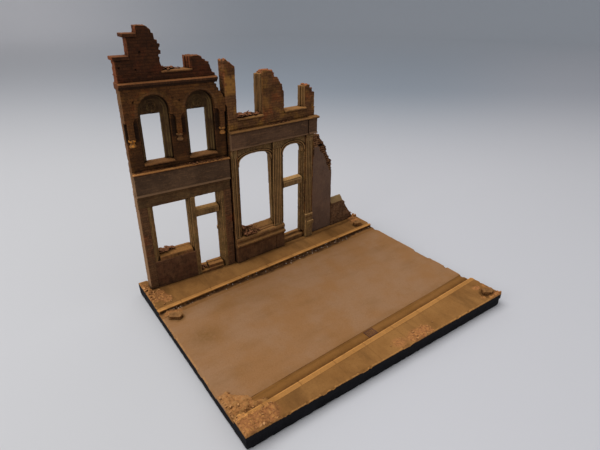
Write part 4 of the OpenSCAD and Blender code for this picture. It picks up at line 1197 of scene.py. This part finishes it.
def street():
    """The road with its gutters, kerbs and pavements."""
    road_near, road_far = offset(NEAR_KERB, NEAR_GUTTER), offset(FAR_KERB, -FAR_GUTTER)
    near_back, far_back = offset(NEAR_KERB, -NEAR_WIDTH), offset(FAR_KERB, FAR_WIDTH)
    near_end, far_end = (-HALF_DEPTH, -HALF_DEPTH), (HALF_DEPTH, HALF_DEPTH)

    def from_joint(p):
        """Distance along a kerb from the nearest joint between its stones."""
        return np.abs(np.mod(p[:, 0] + 3 * noise(p, 40, 2), KERB_STONE) - KERB_STONE / 2)

    def kerb_relief(line, side):
        def relief(p):
            front = side * beyond(p, line)
            joint = 1 - ramp(from_joint(p), 0.15, 0.6)
            return 0.05 * rough_noise(p, 6, 8) - 0.55 * (1 - ramp(front, 0, 0.9)) - 0.3 * joint
        return relief

    def kerb_light(line, side):
        def light(p):
            front = 1 - ramp(side * beyond(p, line), 0.5, 1.5)
            return (0.18 + 0.6 * front) * ramp(noise(p, 6, 33), -1.3, 0.2)
        return light

    def kerb_joint(p):
        return 0.28 * (1 - ramp(from_joint(p), 0.2, 0.8))

    def far_foot(p):
        d = -beyond(p, FAR_KERB)
        reach = 2.6 + 4.2 * inside(p[:, 0], -62, 96, 26) + 1.8 * noise(p, 17, 51) + 1.2 * noise(p, 4, 52)
        return 1.0 - ramp(d, 0.55 * reach, reach + 0.5)

    def dust(p):
        d = np.hypot((p[:, 0] - 15) / 9, (beyond(p, FAR_KERB) + 5) / 2.8)
        return 0.7 * (1 - ramp(d, 0.4, 1.1))

    def near_band(p):
        d = beyond(p, NEAR_KERB) + 0.8 * noise(p, 12, 56)
        return 0.75 * (1 - ramp(d, 1.5, 7.0)) + 0.35 * inside(d, 8.8, 10.4, 0.5)

    def round_blocks(p):
        total = np.zeros(len(p))
        for low, high in loose_parts("pavement_blocks"):
            middle, half = (low + high) / 2, (high - low) / 2
            d = np.hypot(*((p[:, k] - middle[k]) / (half[k] + 1.4) for k in range(2)))
            total = np.maximum(total, 0.9 * (1 - ramp(d + 0.25 * noise(p, 3, 57), 0.85, 1.35)))
        return total

    def road_shade(p):
        far = -beyond(p, road_far) + 4 * noise(p, 16, 53)
        near = beyond(p, road_near) + 3 * noise(p, 16, 54)
        rim = np.minimum(HALF_LENGTH - p[:, 0], HALF_LENGTH + p[:, 0])
        olive = 0.75 * np.exp(-np.hypot((p[:, 0] + 109) / 13, (p[:, 1] - 1) / 11) ** 2)
        olive = np.maximum(olive, 0.35 * np.exp(-np.hypot((p[:, 0] + 74) / 20, (p[:, 1] - 28) / 8) ** 2))
        wash_and_shade = np.maximum(0.4 * (1 - ramp(far, 0, 9)), 0.3 * (1 - ramp(near, 0, 6)))
        wash_and_shade = wash_and_shade + 0.3 * (1 - ramp(rim, 0.4, 2.2))
        return np.maximum(np.maximum(wash_and_shade, olive), round_blocks(p))

    def house_feet(p):
        world = np.stack([p[:, 0], p[:, 1], np.full(len(p), FAR_TOP)], 1)
        left, right = LEFT.local(world), RIGHT.local(world)
        d = np.where(p[:, 0] < RIGHT.origin[0], -left[:, 1], -right[:, 1])
        return 0.75 * inside(d + 0.8 * noise(p, 5, 59), -1, 2.6, 1.4)

    def corner_dirt(p):
        return 0.55 * (1 - ramp(p[:, 0] + 5 * noise(p, 8, 60), -121, -106))

    def left_dirt(p):
        return 0.24 * (1 - ramp(p[:, 0] + 9 * noise(p, 14, 62), -72, -34))

    def back_edge(line, side):
        def wash_and_shade(p):
            slab = 0.35 * (1 - ramp(from_joint(p), 0.1, 0.7)) * ramp(noise(p, 9, 58), -0.5, 0.4)
            edge = 0.6 * (1 - ramp(side * beyond(p, line), 0.1, 0.8))
            return np.maximum(np.maximum(edge, slab), round_blocks(p))
        return wash_and_shade

    near_edge, far_edge = back_edge(near_back, -1), back_edge(far_back, 1)

    def far_wash(p):
        return np.maximum.reduce([far_edge(p), house_feet(p), corner_dirt(p)])

    def near_wash(p):
        return np.maximum(near_edge(p), left_dirt(p))

    def gutter_relief(p):
        return 0.08 * rough_noise(p, 9, 7) + 0.25 * far_foot(p) * np.abs(noise(p, 1.6, 55))

    def uneven(depth, size, seed):
        return lambda p: depth * rough_noise(p, size, seed)

    ground("road_surface", road_near, road_far, ROAD_TOP, 1.0, "road", uneven(0.1, 18, 5),
           road_shade)
    ground("near_gutter", NEAR_KERB, road_near, GUTTER_TOP, 0.8, "gutter",
           uneven(0.08, 9, 6), near_band)
    ground("far_gutter", road_far, FAR_KERB, GUTTER_TOP, 0.7, "kerb_foot", gutter_relief,
           far_foot, dust)
    ground("far_kerb", FAR_KERB, far_back, FAR_TOP, 0.45, "kerb",
           kerb_relief(FAR_KERB, 1), kerb_joint, kerb_light(FAR_KERB, 1), face=0.9)
    ground("far_pavement", far_back, far_end, FAR_TOP, 0.65, "pavement",
           uneven(0.06, 12, 9), far_wash)
    ground("near_kerb", near_back, NEAR_KERB, NEAR_TOP, 0.45, "kerb",
           kerb_relief(NEAR_KERB, -1), kerb_joint, kerb_light(NEAR_KERB, -1))
    ground("near_pavement", near_end, near_back, NEAR_TOP, 0.65, "pavement",
           uneven(0.06, 12, 11), near_wash)
    cast("drain_grate", STREET, "iron", "grate", "grate_iron", voxel=0.2, rough=0.02)
    cast("base_board", STREET, "slab", "black", "board_black", voxel=1.4, swell=0, rough=0.1)


street()
street_stones()
wall_stones()
cast("pavement_blocks", STREET, "stones", "block", "rubble", voxel=0.3, rough=0.3,
     reliefs=(hacked(0.35, 2.6),))


# ---------- floor, light and camera ----------

HEADING, PITCH, ROLL = (math.radians(turn) for turn in (35.56, 26.7, 0.53))
CAMERA = Vector((-212.5, -268.9, 248.0))
LENS, SENSOR = 27.33, 36


def studio():
    """A pale floor, with painted shade that makes it bluer and darker behind the model, that curves up far
    away; soft light from above the back left.
    """
    flat, bend, segments = 3.0, 1.2, 96
    bends = np.linspace(0.1, math.pi / 2, 14)
    round_turn = np.linspace(0, 2 * math.pi, segments, endpoint=False)
    profile = [(0.25, 0), (0.6, 0), (1.2, 0), (flat, 0)]
    profile += [(flat + bend * math.sin(t), bend * (1 - math.cos(t))) for t in bends]
    points = [(0, 0, 0)]
    for r, z in profile:
        points += [(r * math.cos(a), r * math.sin(a), z) for a in round_turn]
    faces = [(0, 1 + i, 1 + (i + 1) % segments) for i in range(segments)]
    for k in range(len(profile) - 1):
        for i in range(segments):
            a, b = 1 + k * segments + i, 1 + k * segments + (i + 1) % segments
            faces.append((a, a + segments, b + segments, b))
    me = new_mesh("floor", points, faces)
    floor = new_object("floor", me)
    p = Paint("floor_paint")
    s, c = math.sin(HEADING), math.cos(HEADING)
    back, aside = (
        p.node("ShaderNodeVectorMath", {0: p.place, 1: way}, operation="DOT_PRODUCT").outputs["Value"]
        for way in ((s, c, 0), (c, -s, 0))
    )
    # distance along the heading, and place across it as a share of that distance
    start, middle, nearest = 342, 16, 240
    depth = p.add(back, start)
    side = p.math("DIVIDE", p.add(aside, middle), p.math("MAXIMUM", depth, nearest))
    # Painted light and shade: a little darker to the left near the model, a darker blue-grey band behind it,
    # and far off dark blue-grey to the left, pale elsewhere.
    p.colour = p.mix(p.rise(side, -0.5, 0.4), srgb(212, 212, 214), srgb(218, 218, 222))
    left, right = p.rise(side, -0.6, -0.05, 1.0, 0.0), p.rise(side, 0.2, 0.6)
    dark = p.mix(right, p.mix(left, srgb(168, 177, 188), srgb(196, 198, 203)), srgb(186, 189, 197))
    far = p.mix(left, srgb(185, 191, 199), srgb(238, 238, 242))
    sector = p.rise(p.math("ABSOLUTE", side), 0.8, 2.4, 1.0, 0.0)
    p.coat(p.part(depth, 600, 1450, sector), dark)
    p.coat(p.part(depth, 1500, 3600, sector), far)
    p.coat(p.mul(p.noise(160, 3, 0.5), 0.06), srgb(190, 194, 204))
    me.materials.append(p.finish(0.7))
    world = bpy.data.worlds.new("world")
    bpy.context.scene.world = world
    world.use_nodes = True
    back = world.node_tree.nodes["Background"]
    back.inputs[0].default_value = srgb(240, 240, 242)
    back.inputs[1].default_value = 0.5
    for name, place, size, power, aim in (
        ("top_light", (-0.5, 0.3, 1.4), 1.1, 10.5, (0, 0.0, 0)),
        ("left_light", (-1.5, -0.1, 0.9), 0.8, 4, (0, 0, 0.1)),
    ):
        data = bpy.data.lights.new(name, "AREA")
        data.shape = "DISK"
        data.size = size
        data.energy = power
        light = new_object(name, data)
        light.location = place
        light.rotation_euler = (Vector(aim) - Vector(place)).to_track_quat("-Z", "Y").to_euler()


def camera():
    """The view of the photograph."""
    s, c, flat = math.sin(HEADING), math.cos(HEADING), math.cos(PITCH)
    ahead = Vector((s * flat, c * flat, -math.sin(PITCH)))
    level = Vector((c, -s, 0))
    rise = level.cross(ahead)
    right = level * math.cos(ROLL) + rise * math.sin(ROLL)
    up = rise * math.cos(ROLL) - level * math.sin(ROLL)
    data = bpy.data.cameras.new("camera")
    data.sensor_width = SENSOR
    data.lens = LENS
    cam = new_object("camera", data)
    turn = Matrix((right, up, -ahead)).transposed()
    cam.matrix_world = Matrix.Translation(CAMERA * MM) @ turn.to_4x4()
    bpy.context.scene.camera = cam


studio()
camera()
bpy.context.scene.view_settings.view_transform = "Standard"
